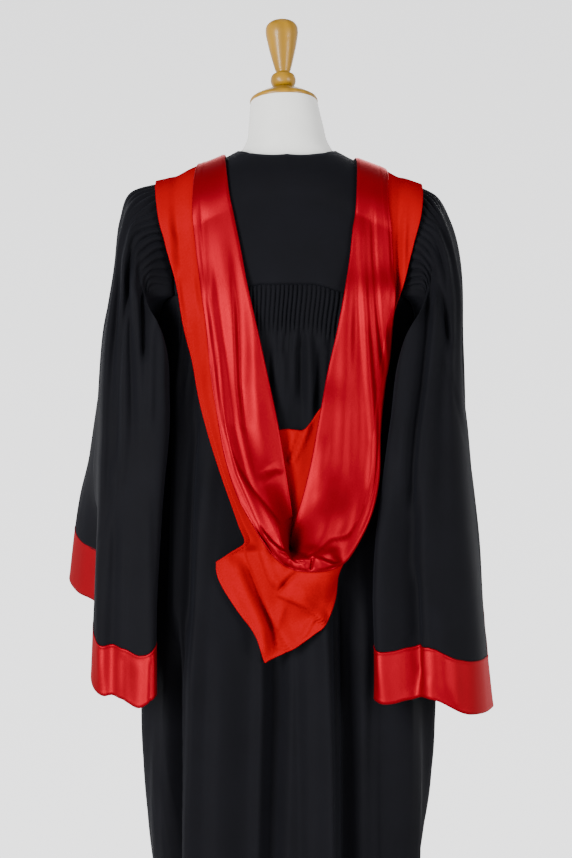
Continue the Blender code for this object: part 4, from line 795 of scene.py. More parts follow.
def crease_heights(names, points, normals):
    """Height of the table's creases for a piece, each where its own camera sees the cloth."""
    height = np.zeros(points.shape[:-1])
    views = {}
    for crease in CREASES:
        if crease.piece not in names:
            continue
        if crease.azimuth not in views:
            a = math.radians(crease.azimuth)
            facing = normals[..., 0] * math.sin(a) - normals[..., 1] * math.cos(a)
            views[crease.azimuth] = (*seen(points, crease.azimuth), ease(0.0, 0.35, facing))
        px, py, facing = views[crease.azimuth]
        (x_from, y_from), (x_to, y_to) = crease.line[0], crease.line[-1]
        runs_down = abs(y_to - y_from) >= abs(x_to - x_from)
        along, level = (py, px) if runs_down else (px, py)
        line = sorted(point[::-1] if runs_down else point for point in crease.line)
        keys = [point[0] for point in line]
        away = level - np.interp(along, keys, [point[1] for point in line])
        t = (along - keys[0]) / (keys[-1] - keys[0])
        shape = bell(away / np.where(away < 0, crease.left, crease.right))
        fade = ease(0.0, crease.fade, t) * (1 - ease(1 - crease.fade, 1.0, t))
        height += crease.height * shape * fade * facing
    return height


def roughen(points, uneven, seed):
    """Heights of a cloth's slight unevenness, from smooth noise."""
    offset = Vector((seed * 7.31, seed * 3.17, seed * 5.03))
    places = points.reshape(-1, 3) / (uneven.size * np.array([1, 1, uneven.stretch]))
    values = [noise.noise(Vector(place) + offset) for place in places]
    return uneven.height * np.array(values).reshape(points.shape[:-1])


class Sheet:
    """A cloth surface: rows of points, where a row may have half the cells of the row above."""

    def __init__(self, blocks, closed=False):
        self.points = []
        self.faces = []
        self.uvs = []
        self.grids = [np.asarray(block, dtype=float) for block in blocks]
        rows = [np.asarray(row) for block in blocks for row in block]
        drop = 0.0
        start = 0
        for k, row in enumerate(rows):
            if k:
                last = rows[k - 1]
                step = len(last) // len(row) if len(last) > len(row) + 1 else 1
                drop += float(np.median(np.linalg.norm(row - last[::step][:len(row)], axis=1)))
                self.faces += join_rows(start - len(last), len(last), start, len(row), closed)
            self.uvs += [(float(width), drop) for width in lengths_along(row)]
            self.points += [tuple(p) for p in row]
            start += len(row)


def join_rows(first, count, second, below_count, closed):
    """Faces between two rows of points, which have like counts or twice as many cells in the first."""
    cells = below_count if closed else below_count - 1
    faces = []
    for i in range(cells):
        low, low_next = second + i, second + (i + 1) % below_count
        if count == below_count:
            faces.append((first + i, low, low_next, first + (i + 1) % count))
        else:
            a, b, c = first + 2 * i, first + 2 * i + 1, first + (2 * i + 2) % count
            faces += [(a, low, b), (b, low, low_next), (b, low_next, c)]
    return faces


def close_ends(sheet, sides):
    """Flat faces over the first and the last ring of a sheet."""
    last = len(sheet.points) - sides
    sheet.faces += [tuple(range(sides))[::-1], tuple(last + i for i in range(sides))]


class Support:
    """The cloth that lies under the hood, measured along a ray."""

    def __init__(self, sheets):
        points = []
        faces = []
        for sheet in sheets:
            faces += [tuple(i + len(points) for i in face) for face in sheet.faces]
            points += sheet.points
        self.tree = BVHTree.FromPolygons(points, faces)

    def heights(self, bases, normals, reach=0.14):
        """How far the support stands off each base point, along its normal; NaN where it has none."""
        found = np.full(bases.shape[:-1], np.nan)
        flat_found = found.reshape(-1)
        for i, (base, normal) in enumerate(zip(bases.reshape(-1, 3), normals.reshape(-1, 3))):
            hit = self.tree.ray_cast(Vector(base + normal * reach), Vector(-normal), 2 * reach)
            if hit[0] is not None and reach - hit[3] > -0.05:
                flat_found[i] = reach - hit[3]
        return found


# The gown's body


def yoke_seam_z(x):
    """The seam between yoke and back, which falls away a little towards the armholes."""
    return YOKE_SEAM_Z - (YOKE_SEAM_Z - YOKE_CORNER_Z) * ease(0.035, 0.100, np.abs(x))


def yoke_back_place(step, level):
    """Place on the yoke's back: step counts columns from the middle, level goes from its seam to its top."""
    count = abs(step)
    low_x = CORNER_X * count / YOKE_COLUMNS
    low = length_at(low_x, yoke_seam_z(low_x) + SEAM_GAP)
    if count == YOKE_COLUMNS:
        length = mix(low, YOKE_TURN_LENGTH, level)
        return math.copysign(armhole_track.at(length)[0], step), length
    neck_x, neck_length = NECK_EDGE[-1].x, NECK_EDGE[-1].length
    if count <= NECK_COLUMNS:
        share = count / NECK_COLUMNS
        high_x, high = neck_x * share, mix(NECK_BACK_LENGTH, neck_length, share**2.5)
    else:
        share = (count - NECK_COLUMNS) / (YOKE_COLUMNS - NECK_COLUMNS)
        high = mix(neck_length, YOKE_TURN_LENGTH, share)
        high_x = mix(neck_x, armhole_track.at(high)[0], share)
    return math.copysign(mix(low_x, high_x, level), step), mix(low, high, level)


def yoke_flap_place(side, share, down):
    """Place on a flap over a shoulder: share goes from the neck to the armhole, down from back to front."""
    front_seam = FRONT_SEAM_Z + SEAM_GAP / 2
    inner = mix(NECK_EDGE[-1].length, -length_at(NECK_EDGE[0].x, front_seam), down)
    outer = mix(YOKE_TURN_LENGTH, -length_at(CORNER_X, front_seam), down)
    x = mix(neck_track.at(inner)[0], armhole_track.at(abs(outer))[0], share)
    length = mix(inner, outer, share) if down < 1 else -length_at(x, front_seam)
    return side * x, length


def yoke_sheet():
    """The yoke: a plain back with the neck hole, and two flaps over the shoulders."""
    fine = 4
    steps = [i / fine for i in range(-YOKE_COLUMNS * fine, YOKE_COLUMNS * fine + 1)]
    levels = np.linspace(0, 1, 36)
    places = np.array([[yoke_back_place(step, level) for step in steps] for level in levels])
    points = drape_points(places[..., 0], places[..., 1])
    normals = outward(points, grid_normals(points), np.array([0, 0.3, 1.2]))
    height = roughen(points, YOKE_SWELLS, 1) + roughen(points, YOKE_CRUMPLES, 2)
    edge = 1 - ease(0.0, 0.06, levels)[:, None]
    points = points + normals * (height * (1 - edge) - SEAM_TUCK * edge)[..., None]
    sheet = Sheet([points])
    cells = (YOKE_COLUMNS - NECK_COLUMNS) * fine
    top = list(points[-1, cells:cells + 2 * NECK_COLUMNS * fine + 1])
    inner_edges = []
    for side in (-1, 1):
        inner_edges.append([])
        middle = (len(points) - 1) * len(steps) + YOKE_COLUMNS * fine
        ring = [middle + side * (NECK_COLUMNS * fine + j) for j in range(cells + 1)]
        for down in np.linspace(0, 1, 49)[1:]:
            below = list(range(len(sheet.points), len(sheet.points) + cells + 1))
            flap = np.array([yoke_flap_place(side, j / cells, down) for j in range(cells + 1)])
            flap_points = drape_points(flap[:, 0], flap[:, 1])
            sheet.points += [tuple(p) for p in flap_points]
            inner_edges[-1].append(flap_points[0])
            sheet.uvs += [(j * 0.004, 0.3 + down * 0.3) for j in range(cells + 1)]
            for j in range(cells):
                quad = (ring[j], ring[j + 1], below[j + 1], below[j])
                sheet.faces.append(quad if side < 0 else quad[::-1])
            ring = below
    sheet.neck = inner_edges[0][::-1] + top + inner_edges[1]
    return sheet


def back_top_z(turn):
    """The back panel's top edge: the yoke seam and, outside its corners, the armhole."""
    x = body_points(turn, YOKE_SEAM_Z + 0 * turn)[..., 0]
    inset = ARMHOLE_INSET * ease(CORNER_TURN, CORNER_TURN + 0.05, np.abs(turn))
    inside = np.abs(turn) <= CORNER_TURN
    return np.where(inside, yoke_seam_z(x) - SEAM_GAP / 2, armhole_drop(turn) - inset)


def back_block(turns, parts):
    """A block of the back panel: fluted into the yoke, gathered below, and hung in long folds."""
    turn, part = np.meshgrid(turns, parts)
    top = back_top_z(turn)
    z = mix(top, HEM_Z, part)
    below = top - z
    lean = -FLUTE_LEAN * ease(0.0, FLUTE_BAND, below) * (1 - ease(FLUTE_BAND, 0.5, below))
    points = body_points(turn + lean, z)
    normals = outward(points, grid_normals(points), np.array([0, 0.6, 0.8]))
    around = turn * QUARTER * body_track.at(z)[..., 0]
    flute_share = 1 - ease(CORNER_TURN * 0.96, CORNER_TURN, np.abs(turn))
    count = turn / CORNER_TURN
    wobble = 0.10 * np.sin(9.1 * count + 14 * part) + 0.07 * np.sin(23.0 * count)
    crest = 1 + 0.22 * np.sin(17.3 * count + 1.0)
    tuck = mix(0.65, 1.0, ease(0.0, 0.012, below))
    flutes = ribs(BACK_FLUTES * (count + 1) / 2 + wobble) * crest * tuck
    band = 1 - ease(FLUTE_BAND * 0.80, FLUTE_BAND * 1.25, below)
    height = FLUTE_DEPTH * flutes * flute_share * band
    loose = ease(FLUTE_BAND * 0.75, FLUTE_BAND * 1.3, below)
    gather = np.cos(math.pi * BACK_GATHERS * count + 0.9 * np.sin(7.0 * count) + 2.0 * part)
    wide = np.cos(math.pi * WIDE_GATHERS * count + 1.3 * np.sin(4.0 * count))
    high = loose * (1 - ease(0.10, 0.24, below))
    low = ease(0.08, 0.16, below) * (1 - ease(0.18, 0.42, below))
    height += (GATHER_DEPTH * gather * high + WIDE_GATHER_DEPTH * wide * low) * flute_share
    sides = 1 - ease(0.90, 1.0, np.abs(turn))
    height += (fold_heights(BACK_FOLDS, around, z) + crease_heights(("back",), points, normals)) * sides
    height += roughen(points, BODY_SWELLS, 3) * ease(0.03, 0.2, below) * sides
    height -= SEAM_TUCK * (1 - ease(0.0, 0.006, below)) * flute_share
    return points + normals * height[..., None]


def back_sheet():
    """The back panel: fine rows in its fluted band, and half as many columns below it."""
    fine = 8 * BACK_FLUTES
    side_cells = 24
    turns = np.concatenate([
        np.linspace(-1, -CORNER_TURN, side_cells, endpoint=False),
        np.linspace(-CORNER_TURN, CORNER_TURN, fine, endpoint=False),
        np.linspace(CORNER_TURN, 1, side_cells + 1),
    ])
    band = FLUTE_BAND / (YOKE_SEAM_Z - HEM_Z)
    parts = np.concatenate([np.linspace(0, band * 0.15, 6), np.linspace(band * 0.15, band * 1.5, 26)[1:]])
    low_parts = np.concatenate([np.linspace(band * 1.5, 0.42, 64)[1:], np.linspace(0.42, 1.0, 56)[1:]])
    return Sheet([back_block(turns, parts), back_block(turns[::2], low_parts)])


def front_sheet(side):
    """A front panel, which hangs open from the yoke."""
    top = FRONT_SEAM_Z - SEAM_GAP / 2 - 0.0004
    levels = np.concatenate([np.linspace(top, 1.20, 34), np.linspace(1.20, HEM_Z, 90)[1:]])
    share, z = np.meshgrid(np.linspace(0, 1, 76), levels)
    inner = turn_of_x(front_edge_track.at(z)[..., 0], z)
    outer_top = turn_of_x(armhole_track.at(length_at(0.176, z))[..., 0], z)
    reach = np.clip((YOKE_CORNER_Z - z) / (YOKE_CORNER_Z - UNDERARM_Z), 0.0, 1.0)
    outer_mid = mix(CORNER_TURN, 1.0 - 2 * SEAM_GAP, 0.5 - np.sin(np.arcsin(1 - 2 * reach) / 3))
    outer = np.where(z > YOKE_CORNER_Z, outer_top, np.where(z > UNDERARM_Z, outer_mid, 1.0 - 2 * SEAM_GAP))
    outer = outer + FRONT_UNDER_SLEEVE * ease(UNDERARM_Z, UNDERARM_Z + 0.03, z)
    turn = mix(inner, outer, share)
    points = body_points(side * turn, z, False)
    normals = outward(points, grid_normals(points), np.array([0, -0.6, 0.8]))
    around = turn * QUARTER * body_track.at(z)[..., 0]
    fade = 1 - ease(0.86, 1.0, share)
    height = (fold_heights(FRONT_FOLDS, around, z) + crease_heights(("front",), points, normals)) * fade
    height += roughen(points, BODY_SWELLS, 5 + side) * fade
    return Sheet([points + normals * height[..., None]])


# The sleeves


def sleeve_track(rings):
    """Tracks down a sleeve, one for each named place round it."""
    tracks = []
    for column, place in enumerate(SLEEVE_PLACES):
        rows = [(0.0, *armhole_points(place))]
        rows += [(ring.along, *ring[column + 1]) for ring in rings]
        tracks.append(Track(rows))
    return tracks


def body_clearance(points, room):
    """Push points of a sleeve out to where they stand clear of the body's folds."""
    z = points[..., 2]
    half_width, back, front = np.moveaxis(body_track.at(z), -1, 0)
    side_room = room * ease(UNDERARM_Z + 0.05, UNDERARM_Z - 0.10, z)
    half_width = np.minimum(half_width, 0.235) + side_room
    depth = np.where(points[..., 1] < 0, back, front) + side_room
    across, ahead = np.abs(points[..., 0]) / half_width, np.abs(points[..., 1]) / depth
    level = across**PLAN_POWER + ahead**PLAN_POWER
    near = (z <= UNDERARM_Z + 0.05) & (level < 1) & (level > 0)
    scale = np.where(near, np.maximum(level, 1e-9) ** (-1 / PLAN_POWER), 1.0)
    return points * np.stack([scale, scale, np.ones_like(scale)], -1)


def wrap_ring(rows):
    """Rows round a ring, with enough of them repeated at both ends to close it smoothly."""
    before = [(row[0] - 1.0, *row[1:]) for row in rows[-2:]]
    after = [(row[0] + 1.0, *row[1:]) for row in rows[:2]]
    return before + rows + after


def sleeve_block(tracks, troughs, side, names, places, alongs, end=((0.0, 1.0), (0.0, 0.0))):
    """A block of a sleeve: rings from the armhole down, gathered into flutes at the top."""
    rows = []
    axes = []
    for along in alongs:
        keyed = [(p, *track.at(along)) for p, track in zip(SLEEVE_PLACES, tracks)]
        ring = Track(wrap_ring(keyed)).at(np.mod(places, 1.0))
        if along < SEAM_BLEND:
            seam = Track(wrap_ring([(p, *track.values[0]) for p, track in zip(SLEEVE_PLACES, tracks)]))
            off_seam = armhole_points(places) - seam.at(np.mod(places, 1.0))
            ring = ring + off_seam * (1 - ease(0.0, SEAM_BLEND, along))
        rows.append(body_clearance(ring, BODY_ROOM))
        axes.append(np.mean([row[1:] for row in keyed], axis=0))
    points, axes = np.array(rows), np.array(axes)[:, None, :]
    place, along = np.meshgrid(places, alongs)
    share = (np.where(place < 0.5, place, place - 1.0) - FLUTES_FROM) / FLUTES_REACH
    inside = (share > 0) & (share < 1)
    fade = ease(0.0, 0.04, share) * (1 - ease(0.96, 1.0, share)) * inside
    band = (1 - ease(HEAD_BAND * 0.55, HEAD_BAND * 1.4, along)) * ease(-0.012, 0.012, along)
    wobble = 0.20 * np.sin(31 * share + 70 * along) + 0.16 * np.sin(13 * share + 45 * along)
    size = 1 + 0.4 * np.sin(19.0 * share + 2 * side + 30 * along)
    height = HEAD_FLUTE_DEPTH * ribs(HEAD_FLUTES * share + wobble) * size * fade * band
    puffs = np.cos(2 * math.pi * HEAD_PUFFS * share + 1.4 * np.sin(9 * share))
    puffs = puffs * ease(0.0, 0.1, share) * (1 - ease(0.9, 1.0, share))
    height += PUFF_DEPTH * puffs * inside * ease(0.05, 0.11, along) * (1 - ease(0.2, 0.50, along))
    for trough in troughs:
        t = (along - trough.along_top) / (trough.along_low - trough.along_top)
        away = (np.mod(place, 1.0) - mix(trough.place_top, trough.place_low, t)) / trough.half_width
        strength = ease(0.0, 0.25, t) * (1 - ease(0.8, 1.3, t)) * (t > 0)
        height -= trough.depth * strength * bell(away)
    out = points - axes
    out[..., 2] *= 0.4 + 0.6 * (1 - ease(0.0, 0.3, along))
    mirror = np.array([side, 1, 1])
    points, out = points * mirror, unit(out) * mirror
    height += crease_heights(names, points, out) * ease(0.03, 0.1, along)
    raised = -HEM_LIFT * np.minimum(height, MOST_LIFTED)
    middle, left, right, rise = HEM_WAVES[side]
    away = seen(points, 0)[0] - middle
    raised += rise * bell(away / np.where(away < 0, left, right)) * ease(-0.2, 0.4, -out[..., 1])
    raised *= ease(0.5, 1.0, along)
    height += roughen(points, SLEEVE_SWELLS, 8 + side) * ease(0.05, 0.15, along)
    height += np.interp(along, *end)
    return points + out * height[..., None] + raised[..., None] * np.array([0, 0, 1])


def sleeve_places(fine):
    """Places of the fine columns round a sleeve: some for each flute, and fewer under the arm."""
    fluted = FLUTES_FROM + FLUTES_REACH * np.arange(fine * HEAD_FLUTES) / (fine * HEAD_FLUTES)
    plain = FLUTES_FROM + FLUTES_REACH + (1 - FLUTES_REACH) * np.arange(72) / 72
    return np.concatenate([fluted, plain])


def sleeve_sheet(tracks, troughs, side, names):
    """A sleeve down to its cuff, which it goes under: fine columns in its head, and half as many below."""
    places = sleeve_places(8)
    fine_alongs = np.linspace(SLEEVE_SEAM, 0.11, 30)
    low = CUFF_START - 0.01
    coarse_alongs = np.concatenate([np.linspace(0.11, low, 104)[1:], np.linspace(low, CUFF_START, 5)[1:]])
    tuck = ((CUFF_START - 0.006, CUFF_START - 0.002), (0.0, -0.0013))
    blocks = [
        sleeve_block(tracks, troughs, side, names, places, fine_alongs),
        sleeve_block(tracks, troughs, side, names, places[::2], coarse_alongs, tuck),
    ]
    return Sheet([flip_rows(block, side) for block in blocks], closed=True)


def flip_rows(block, side):
    """Rings of the left sleeve run the other way round, so that their faces look out."""
    return block if side > 0 else [np.concatenate([row[:1], row[:0:-1]]) for row in block]


def cuff_sheet(tracks, troughs, side, names):
    """A cuff: the same surface as its sleeve, with a folded edge at both ends."""
    places = sleeve_places(8)[::2]
    start = CUFF_START - 0.0025
    alongs = np.concatenate([np.linspace(start, start + 0.008, 5), np.linspace(start + 0.008, 1.0, 15)[1:]])
    fold = ((start, start + 0.0015, start + 0.006, 0.994, 1.0), (0.0004, 0.0011, 0.0, 0.0, 0.0006))
    block = sleeve_block(tracks, troughs, side, names, places, alongs, fold)
    return Sheet([flip_rows(block, side)], closed=True)


# The hood


def hood_tracks():
    """The hood's three lines along its length, in x and in length down from the shoulder line."""
    rows = []
    for k, row in enumerate(HOOD):
        sign = 1 if row.side == "back" else -1
        values = [float(k)]
        for x, z in ((row.edge_x, row.edge_z), (row.rim_x, row.rim_z), (row.inner_x, row.inner_z)):
            values += [x, sign * float(length_at(x, z))]
        rows.append((*values, row.edge_out, row.rim_out, row.inner_out))
    return Track(rows)


hood_track = hood_tracks()


def hood_stations(step):
    """Where the hood's cross lines lie, as row numbers of its table, at about one to each step in metres."""
    dense = np.linspace(0, len(HOOD) - 1, 1500)
    values = hood_track.at(dense)
    rim = drape_points(values[:, 2], values[:, 3], HOOD_HALF_WIDTH)
    edge = drape_points(values[:, 0], values[:, 1], HOOD_HALF_WIDTH)
    moves = np.maximum(
        np.linalg.norm(np.diff(rim, axis=0), axis=1), 0.8 * np.linalg.norm(np.diff(edge, axis=0), axis=1)
    )
    lengths = np.concatenate([[0.0], np.cumsum(moves)])
    return np.interp(np.linspace(0, lengths[-1], int(lengths[-1] / step)), lengths, dense)


def hood_base(x, length):
    """Base surface under the hood, with its outward normals."""
    step = 0.002
    wide = HOOD_HALF_WIDTH
    points = drape_points(x, length, wide)
    across = drape_points(x + step, length, wide) - drape_points(x - step, length, wide)
    along = drape_points(x, length + step, wide) - drape_points(x, length - step, wide)
    normals = unit(np.cross(across, along))
    hint = np.stack([points[..., 0], points[..., 1] * 2, np.maximum(points[..., 2] - 1.40, 0.0) * 6], -1)
    return points, normals * np.where(np.sum(normals * hint, axis=-1) < 0, -1.0, 1.0)[..., None]


def widest(grid, rows, columns):
    """A grid of heights, each the most that is found up to some rows and columns away."""
    for axis, reach in ((0, rows), (1, columns)):
        pad = [(reach, reach) if i == axis else (0, 0) for i in (0, 1)]
        padded = np.pad(grid, pad, mode="edge")
        size = grid.shape[axis]
        grid = np.max([np.take(padded, range(a, a + size), axis=axis) for a in range(2 * reach + 1)], axis=0)
    return grid


def blurred(grid, rounds):
    """A grid averaged with its neighbours again and again."""
    for _ in range(rounds):
        padded = np.pad(grid, 1, mode="edge")
        rows, columns = grid.shape
        grid = np.mean([padded[a:a + rows, b:b + columns] for a in range(3) for b in range(3)], axis=0)
    return grid


def resting_heights(x, length, support, rows=5, columns=3):
    """Heights of the support under a grid, smoothed as a thick cloth lies over it."""
    found = support.heights(*hood_base(x, length))
    found = np.where(np.isnan(found), np.nanmedian(found), found)
    spread = widest(found, rows, columns)
    return np.maximum(blurred(spread, 16), blurred(found, 1) + 0.0002)


def stand_off(x, length, outs, heights):
    """Points that stand off the base surface under the hood, with its normals."""
    bases, normals = hood_base(x, length)
    return bases + normals * (outs + heights)[..., None], normals


def hood_back_sheet(support):
    """The layer of the hood that lies on the gown inside the cowl."""
    track = Track(HOOD_BACK)
    shares, levels = np.meshgrid(np.linspace(0, 1, 40), np.linspace(0, 1, 44))
    z = mix(HOOD_BACK[0].z, HOOD_BACK[-1].z, levels)
    edges = track.at(z)
    x = mix(edges[..., 0], edges[..., 1], shares)
    z = z + HOOD_BACK_RISE * ease(0.022, 0.060, x) * (1 - levels) ** 2
    length = length_at(0.0, z)
    outs = resting_heights(x, length, support) + LAYER_STEP
    points, normals = stand_off(x, length, outs, 0 * outs)
    height = np.maximum(crease_heights(("inner",), points, normals), LEAST_STAND - LAYER_STEP)
    points = points + normals * height[..., None]
    return Sheet([points])


def hood_lines(stations):
    """The free edge, rim and inner edge of the hood at stations, as x and length, and their outs."""
    values = hood_track.at(stations)
    return values[:, None, 0:2], values[:, None, 2:4], values[:, None, 4:6], values[:, None, 6:9]


def hood_shell_sheet(support, stations):
    """The hood's outer cloth: a band over each shoulder that widens into the hanging tail."""
    edge, rim, inner, outs = hood_lines(stations)
    end = mix(rim, inner, 2 * RIM_TUCK / np.linalg.norm(rim - inner, axis=-1, keepdims=True))
    shares = np.linspace(0, 1, 56)[None, :, None]
    places = mix(edge, end, shares)
    x, length = places[..., 0], places[..., 1]
    out = mix(outs[..., 0], outs[..., 1], ease(0.25, 1.0, shares[..., 0]))
    rest = resting_heights(x, length, support)
    points, normals = stand_off(x, length, out, rest)
    height = crease_heights(("shell", "hood"), points, normals)
    height += roughen(points, SHELL_SWELLS, 21) * ease(0.0, 0.25, shares[..., 0])
    return Sheet([stand_off(x, length, np.maximum(out + height, LEAST_STAND), rest)[0]])


def hood_lining_sheet(support, shell, stations):
    """The satin lining, turned out all round the cowl and rolled over its rim."""
    _, rim, inner, outs = hood_lines(stations)
    spans = (np.linspace(0, 0.16, 13)[:-1], np.linspace(0.16, 0.92, 38)[:-1], np.linspace(0.92, 1, 5))
    shares = np.concatenate(spans)[None, :, None]
    places = mix(rim, inner, shares)
    x, length = places[..., 0], places[..., 1]
    share = shares[..., 0]
    lip = ease(0.03, 0.06, outs[..., 1])
    profile = mix(ease(-0.1, 1.0, share), ease(0.48, 1.0, share), lip)
    rest = resting_heights(x, length, support)
    out = mix(outs[..., 1], outs[..., 2], profile) + LINING_STEP + rest
    over = shell.heights(*hood_base(x, length))
    over = np.where(np.isnan(over), -1.0, over)
    out = np.maximum(out, blurred(widest(over, 2, 1), 2) + LINING_STEP)
    out = np.maximum(out, over + LINING_STEP)
    width = np.linalg.norm(rim - inner, axis=-1)
    from_rim = width * share
    reach = mix(RIM_REACH, mix(LIP_REACH, LIP_END_REACH, ease(0.055, 0.095, x)), lip)
    roll = np.sqrt(np.clip(1 - (1 - 2 * from_rim / reach) ** 4, 0.0, 1.0)) * (from_rim < reach)
    roll *= mix(RIM_ROLL, LIP_ROLL, ease(0.008, 0.05, outs[..., 1]))
    to_inner = width * (1 - share)
    roll -= 0.0015 * (1 - ease(0.0, 0.004, to_inner))
    points, normals = stand_off(x, length, out, 0 * out)
    height = roll + crease_heights(("lining", "hood"), points, normals) * ease(0.002, 0.008, from_rim)
    height += roughen(points, LINING_SWELLS, 31) * ease(0.005, 0.02, from_rim)
    total = np.maximum(out + height, np.maximum(over + 0.0010, rest + 0.0004))
    return Sheet([stand_off(x, length, total, 0 * total)[0]])


# Materials


def socket(shader, name, value):
    """Give one socket of a shader a plain value."""
    shader.inputs[name].default_value = value


class Finish:
    """A procedural material: its Principled shader, and nodes that are wired by short calls."""

    def __init__(self, name, colour, roughness, **sockets):
        self.made = bpy.data.materials.new(name)
        self.made.use_nodes = True
        self.tree = self.made.node_tree
        self.shader = self.tree.nodes["Principled BSDF"]
        self.colour = colour
        socket(self.shader, "Base Color", (*colour, 1.0))
        socket(self.shader, "Roughness", roughness)
        for key, value in sockets.items():
            socket(self.shader, key.replace("_", " "), value)
        self.made.diffuse_color = (*colour, 1.0)

    def node(self, kind, inputs=(), **settings):
        """A node with its settings, and with its inputs set or linked."""
        made = self.tree.nodes.new(kind)
        for key, value in settings.items():
            setattr(made, key, value)
        for key, value in dict(inputs).items():
            if isinstance(value, bpy.types.NodeSocket):
                self.tree.links.new(value, made.inputs[key])
            else:
                made.inputs[key].default_value = value
        return made

    def coords(self, output="UV", scale=(1, 1, 1), turn=0.0):
        """Coordinates of the surface, stretched and turned."""
        source = self.node("ShaderNodeTexCoord").outputs[output]
        inputs = {"Vector": source, "Scale": scale, "Rotation": (0, 0, turn)}
        return self.node("ShaderNodeMapping", inputs).outputs["Vector"]

    def noise(self, vector, scale, detail=3.0, roughness=0.55):
        """Soft random values from 0 to 1."""
        inputs = {"Vector": vector, "Scale": scale, "Detail": detail, "Roughness": roughness}
        return self.node("ShaderNodeTexNoise", inputs).outputs["Fac"]

    def waves(self, vector, pitch, distortion=0.0, **settings):
        """Bands across the first coordinate, one to a pitch in metres."""
        inputs = {"Vector": vector, "Scale": 0.314159 / pitch, "Distortion": distortion, "Detail": 2.0}
        return self.node("ShaderNodeTexWave", inputs, **settings).outputs["Fac"]

    def math(self, operation, a, b):
        """A sum or a product of two values."""
        return self.node("ShaderNodeMath", {0: a, 1: b}, operation=operation).outputs[0]

    def ramp(self, value, low, high):
        """Spread a value from 0 to 1 between two others."""
        inputs = {"Value": value, "To Min": low, "To Max": high}
        return self.node("ShaderNodeMapRange", inputs).outputs["Result"]

    def tint(self, value, dark, light):
        """Mix the colour between two shades of itself."""
        shades = [(*(min(c * change, 1.0) for c in self.colour), 1.0) for change in (dark, light)]
        inputs = {0: value, 6: shades[0], 7: shades[1]}
        return self.node("ShaderNodeMix", inputs, data_type="RGBA").outputs[2]

    def link(self, output, name):
        """Lead an output into the shader."""
        self.tree.links.new(output, self.shader.inputs[name])

    def bump(self, height, strength, distance, under=None):
        """A relief of the surface, on top of another one if that is given."""
        inputs = {"Height": height, "Strength": strength, "Distance": distance}
        if under:
            inputs["Normal"] = under
        return self.node("ShaderNodeBump", inputs).outputs["Normal"]


def black_wool():
    """Fine black twill: a diagonal weave, faint slubs and a very low sheen."""
    sockets = {"Sheen_Weight": 0.008, "Sheen_Roughness": 0.45, "Specular_IOR_Level": 0.036}
    made = Finish("black_twill", BLACK, 0.8, **sockets)
    socket(made.shader, "Sheen Tint", (0.55, 0.62, 0.85, 1.0))
    twill = made.waves(made.coords(turn=math.radians(62)), 0.0011, 0.6)
    threads = made.waves(made.coords(turn=math.radians(90)), 0.0007, 0.3)
    cloudy = made.noise(made.coords("Object"), 14.0, 4.0)
    fibres = made.noise(made.coords(), 900.0, 2.0)
    shade = made.math("MULTIPLY", cloudy, made.ramp(twill, 0.8, 1.1))
    made.link(made.tint(shade, 0.70, 1.45), "Base Color")
    made.link(made.ramp(fibres, 0.70, 0.88), "Roughness")
    soft = made.bump(cloudy, 0.12, 0.004)
    weave = made.bump(twill, 0.30, 0.00022, soft)
    made.link(made.bump(made.math("ADD", threads, fibres), 0.18, 0.00014, weave), "Normal")
    return made.made


def red_wool():
    """Matte red cloth with a fine close weave."""
    made = Finish("red_cloth", RED, 0.80, Specular_IOR_Level=0.0)
    weave = made.waves(made.coords(turn=math.radians(50)), 0.0009, 0.4)
    cloudy = made.noise(made.coords("Object"), 16.0, 4.0)
    fibres = made.noise(made.coords(), 1100.0, 2.0)
    shade = made.math("MULTIPLY", cloudy, made.ramp(weave, 0.85, 1.1))
    made.link(made.tint(shade, 0.86, 1.12), "Base Color")
    made.link(made.ramp(fibres, 0.64, 0.82), "Roughness")
    soft = made.bump(cloudy, 0.10, 0.003)
    made.link(made.bump(made.math("ADD", weave, fibres), 0.22, 0.00018, soft), "Normal")
    return made.made


def red_satin(name, turn=0.0):
    """Satin: long floats that shine along the warp, with faint cross ripples."""
    made = Finish(name, SATIN_RED, 0.48, Specular_IOR_Level=0.10, Anisotropic=0.5, Metallic=0.62)
    socket(made.shader, "Specular Tint", (1.0, 0.10, 0.12, 1.0))
    warp = made.waves(made.coords(turn=turn), 0.0006, 0.5)
    ripples = made.noise(made.coords(scale=(60.0, 9.0, 1.0), turn=turn), 1.0, 3.0)
    cloudy = made.noise(made.coords("Object"), 18.0, 3.0)
    made.link(made.tint(cloudy, 0.90, 1.10), "Base Color")
    made.link(made.ramp(made.math("MULTIPLY", ripples, cloudy), 0.42, 0.60), "Roughness")
    made.link(made.bump(warp, 0.12, 0.00012, made.bump(ripples, 0.10, 0.0008)), "Normal")
    made.link(made.node("ShaderNodeTangent", direction_type="UV_MAP").outputs["Tangent"], "Tangent")
    return made.made


def jersey():
    """Knitted jersey over the dress form: fine wales and a little pilling."""
    made = Finish("form_jersey", JERSEY, 0.92, Sheen_Weight=0.2, Sheen_Roughness=0.6, Specular_IOR_Level=0.2)
    wales = made.waves(made.coords(), 0.0014, 0.4)
    courses = made.waves(made.coords(turn=math.radians(90)), 0.0011, 0.4)
    cloudy = made.noise(made.coords("Object"), 22.0, 5.0)
    shade = made.math("MULTIPLY", cloudy, made.ramp(wales, 0.9, 1.05))
    made.link(made.tint(shade, 0.93, 1.06), "Base Color")
    soft = made.bump(cloudy, 0.10, 0.002)
    made.link(made.bump(made.math("ADD", wales, courses), 0.25, 0.00030, soft), "Normal")
    return made.made


